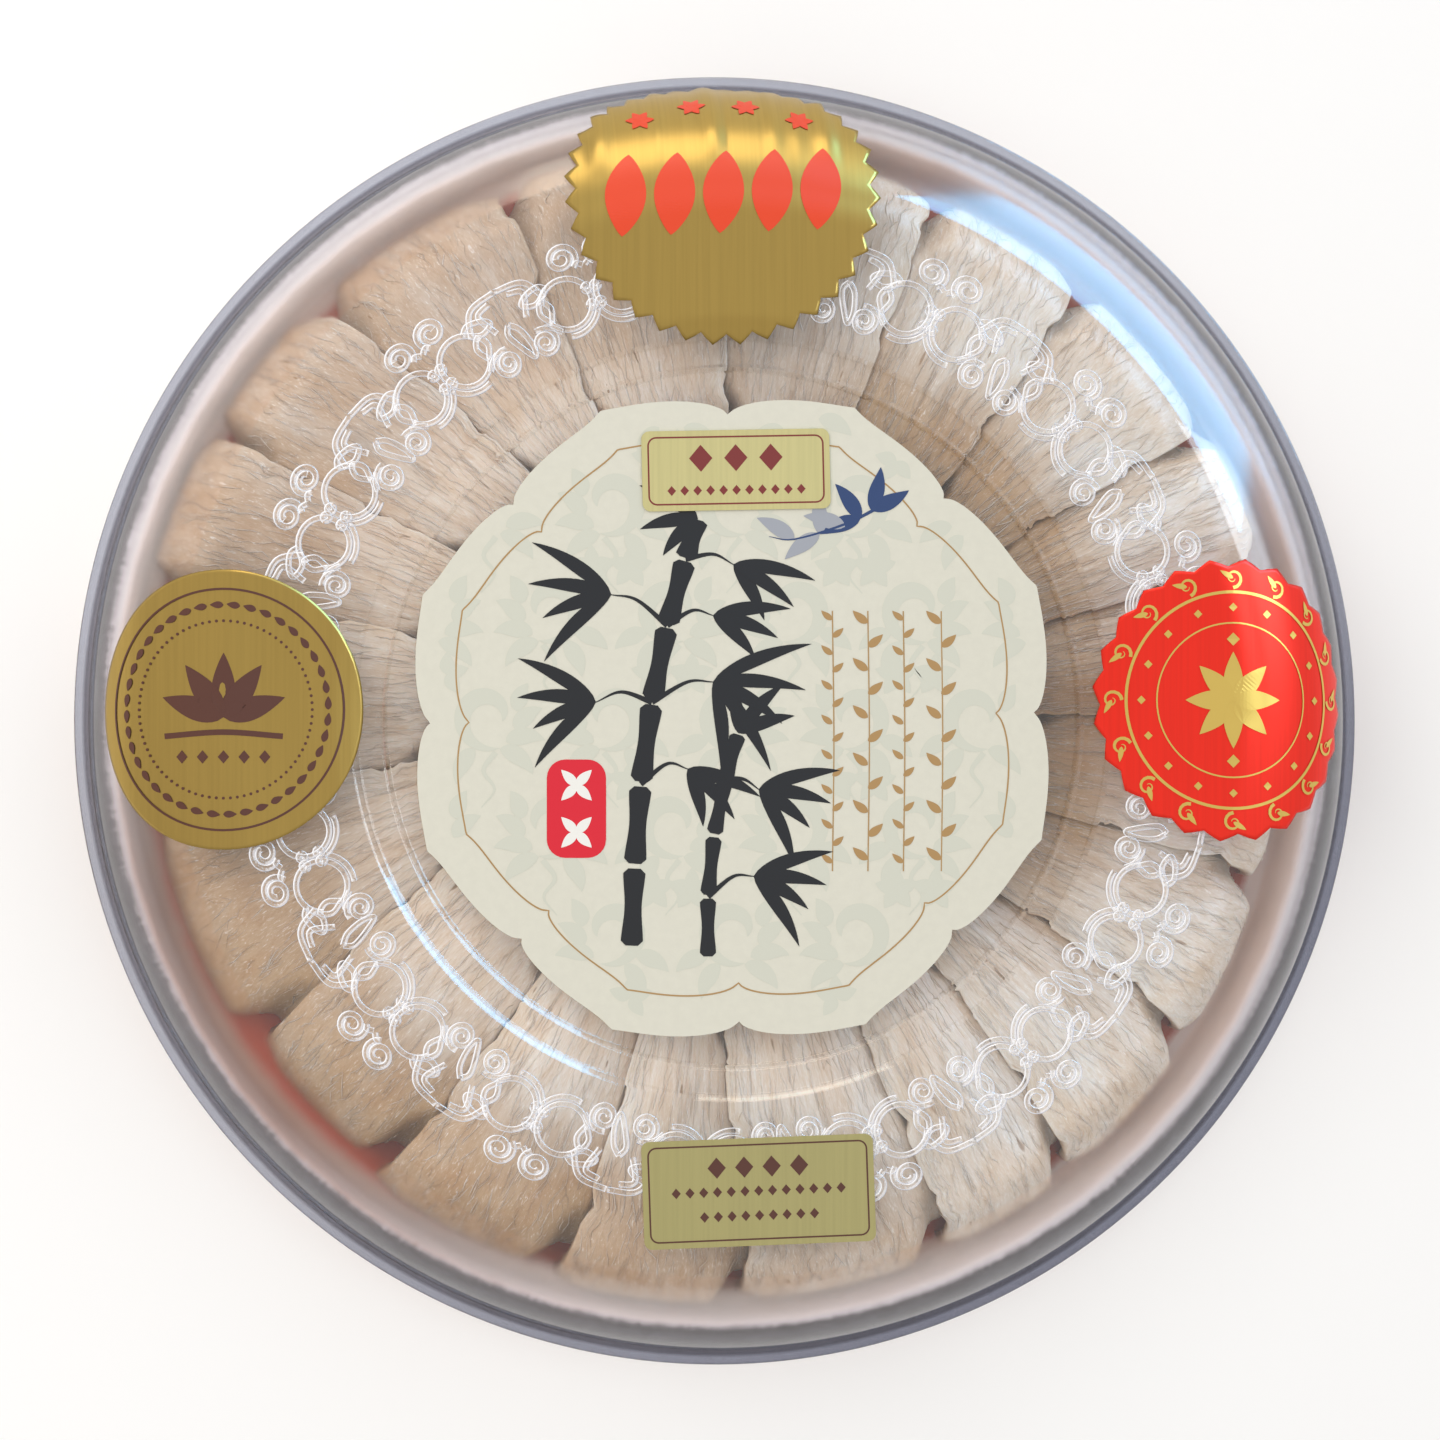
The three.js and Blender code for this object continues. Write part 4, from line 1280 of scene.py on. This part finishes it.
def seal_solid(seal, place):
    """A toothed disc over the lid."""
    rings, columns = SEAL_RINGS, seal["teeth"] * 6
    turn = turns(columns)
    phase = turn * seal["teeth"] / (2 * np.pi)
    tooth = 1 - 2 * np.abs(phase - np.floor(phase) - 0.5)
    edge = seal["valley"] + (seal["radius"] - seal["valley"]) * tooth
    share = np.linspace(0, 1, rings + 1)[1:, None]
    reach = share * (seal["valley"] + (edge - seal["valley"]) * share ** 8)
    x, y = (reach * np.cos(turn)).ravel(), (reach * np.sin(turn)).ravel()
    x, y = np.append(x, 0), np.append(y, 0)
    upper, lower = place(x, y, STICKER_LIFT + STICKER), place(x, y, STICKER_LIFT)
    count = len(upper)
    faces = []
    for column in range(columns):
        following = (column + 1) % columns
        faces.append([count - 1, column, following])
        for ring in range(rings - 1):
            a, b = ring * columns + column, ring * columns + following
            faces.append([a, a + columns, b + columns, b])
    faces += [[index + count for index in face[::-1]] for face in faces]
    rim = (rings - 1) * columns
    for column in range(columns):
        a, b = rim + column, rim + (column + 1) % columns
        faces.append([a, a + count, b + count, b])
    return np.concatenate([upper, lower]), faces


def make_seal(name, seal, foil, ink, drawings, crease=0.0):
    """A seal and its print. Each drawing is (outline,) or (path, half width)."""
    place = lid_place(seal["from_axis"], seal["angle"], crease)
    sheet = Parts()
    sheet.add(*seal_solid(seal, place))
    sheet.piece(name + "_foil", [foil], [name])
    read = upright(place, seal["angle"])
    printed = Parts()
    for drawing in drawings:
        lift = STICKER_LIFT + STICKER + SEAL_PRINT_LIFT + printed.small_step()
        solid = plate_solid if len(drawing) == 1 else ribbon
        printed.add(*solid(*drawing, read, lift, PRINT))
    printed.piece(name + "_print", [ink], smooth=False)


def left_drawings():
    """A lotus over a line and five lozenges, in rings of dots, leaves and a line."""
    drawings = [(circle(0, 0, 23.4, steps=96), 0.22)]
    drawings += [(circle(0, 0, 0.3, steps=8)[:-1] + polar(17.2, turn),) for turn in turns(80)]
    drawings += [leaf(0, -1.5, angle, 12.5, 4.6) for angle in (18, 54, 90, 126, 162)]
    drawings += [(curve((-11.5, -5.2), (0, -4.4), (11.5, -5.2)), 0.55)]
    drawings += [(lozenge(x, -9.2, 2.2, 2.6),) for x in (-8, -4, 0, 4, 8)]
    drawings += [leaf(*polar(20.3, turn), math.degrees(turn) + 90, 2.6, 1.3) for turn in turns(40)]
    return drawings


def right_drawings():
    """A star flower in two lines and a ring of lozenges, with scrolls and leaves round the edge."""
    drawings = [(circle(0, 0, 21.3, steps=96), 0.3), (circle(0, 0, 15.2, steps=72), 0.16)]
    for turn in turns(16):
        foot, angle = polar(24.0, turn), math.degrees(turn)
        drawings.append(tapered(spiral(*foot, 1.9, 0.4, angle + 180, 1.2, 18), 0.7))
        drawings.append(leaf(*foot, angle + 60, 3.0, 1.0))
        drawings.append((lozenge(*polar(18.3, turn), 1.7, 1.7),))
    drawings += [leaf(0, 0, angle, 9.5, 3.8) for angle in range(0, 360, 45)]
    drawings += [(lozenge(0, y, 2.6, 2.6),) for y in (12, -12)]
    return drawings


def top_drawings():
    """Five tall pointed ovals across the seal, and four rosettes near its folded edge."""
    drawings = []
    for number in range(5):
        x = 9.6 * (number - 2)
        y = -1 + 0.045 * x
        drawings.append(swelling(curve((x - 0.8, y - 8.3), (x, y), (x + 0.8, y + 8.3), steps=30), 8.0))
    for x, y in ((-16, 15.5), (-5.5, 19.5), (5.5, 19.5), (16, 15.5)):
        drawings += [leaf(x, y, angle, 2.9, 1.7) for angle in range(0, 360, 60)]
    return drawings


make_seal("left_seal", LEFT_SEAL, GOLD, BROWN_INK, left_drawings())
make_seal("right_seal", RIGHT_SEAL, RED_FOIL, GOLD_PRINT, right_drawings())
make_seal("top_seal", TOP_SEAL, GOLD, ORANGE_RED_INK, top_drawings(), TOP_CREASE)


# Stage

def make_floor():
    """A wide sheet of pale paper, in metres, just under the box."""
    mesh = bpy.data.meshes.new("floor")
    half = 3.0
    corners = [(-half, -half, 0), (half, -half, 0), (half, half, 0), (-half, half, 0)]
    mesh.from_pydata(corners, [], [(0, 1, 2, 3)])
    mesh.materials.append(plain("floor_paper", (0.97, 0.97, 0.97), 0.9))
    floor = bpy.data.objects.new("floor", mesh)
    floor.location.z = -0.0002
    bpy.context.scene.collection.objects.link(floor)


def aimed(eye, target, up):
    """World matrix of a camera or lamp at eye that looks at target."""
    ahead = (target - eye).normalized()
    right = ahead.cross(up).normalized()
    above = right.cross(ahead)
    turn = Matrix((right, above, -ahead)).transposed().to_4x4()
    return Matrix.Translation(eye) @ turn


def make_light(name, azimuth, zenith, distance, size, power, colour):
    """A soft lamp that faces the box. Its size is the width and the height, in metres."""
    lamp = bpy.data.lights.new(name, "AREA")
    lamp.shape = "RECTANGLE"
    lamp.size, lamp.size_y = size
    lamp.energy = power
    lamp.color = colour
    around, down = math.radians(azimuth), math.radians(zenith)
    flat = Vector((math.cos(around), math.sin(around), 0)) * math.sin(down)
    eye = distance * (flat + Vector((0, 0, math.cos(down))))
    light = bpy.data.objects.new(name, lamp)
    light.matrix_world = aimed(eye, Vector((0, 0, 0.03)), Vector((0, 0, 1)))
    bpy.context.scene.collection.objects.link(light)
    return light


def make_world():
    """Soft light all round, brightest from the far side and darkest near the floor on the near side."""
    world = bpy.data.worlds.new("studio")
    world.use_nodes = True
    tree = world.node_tree
    direction = node(tree, "ShaderNodeTexCoord").outputs["Generated"]
    level = weighed(tree, facing_share(tree, direction, BRIGHT_SIDE, -1, 1), 0.4, 0.58)
    tree.links.new(level, tree.nodes["Background"].inputs["Strength"])
    tree.nodes["Background"].inputs["Color"].default_value = (1.0, 0.985, 0.97, 1)
    bpy.context.scene.world = world


def make_camera():
    """A long lens almost straight above the box, leaning a little to the left. Lengths are in metres."""
    frame_width = 0.2864
    distance = 1.5
    target = Vector((0, 0, 0.017))
    lean_left, lean_down = math.radians(6), math.radians(1)
    data = bpy.data.cameras.new("camera")
    data.sensor_width = 36
    data.lens = data.sensor_width * distance / frame_width
    camera = bpy.data.objects.new("camera", data)
    way = Vector((-math.tan(lean_left), -math.tan(lean_down), 1)).normalized()
    camera.matrix_world = aimed(target + distance * way, target, Vector((0, 1, 0)))
    bpy.context.scene.collection.objects.link(camera)
    bpy.context.scene.camera = camera


make_floor()
make_world()
for lamp_name, azimuth, zenith, size, power, colour in (
        ("blue_window", 42, 64, (0.7, 0.9), 15.0, (0.17, 0.58, 1.0)),
        ("pale_window", 18, 50, (0.3, 0.5), 2.0, (0.8, 0.9, 1.0)),
        ("far_window", 92, 62, (0.5, 0.5), 2.0, (1.0, 0.9, 0.75)),
):
    window = make_light(lamp_name, azimuth, zenith, 1.1, size, power, colour)
    window.visible_diffuse = False
key = make_light("key", 150, 36, 1.2, (1.1, 1.1), 5.6, (1.0, 0.98, 0.95))
key.visible_glossy = False
key.visible_transmission = False
make_camera()
bpy.context.scene.view_settings.view_transform = "Standard"

bpy.context.view_layer.update()
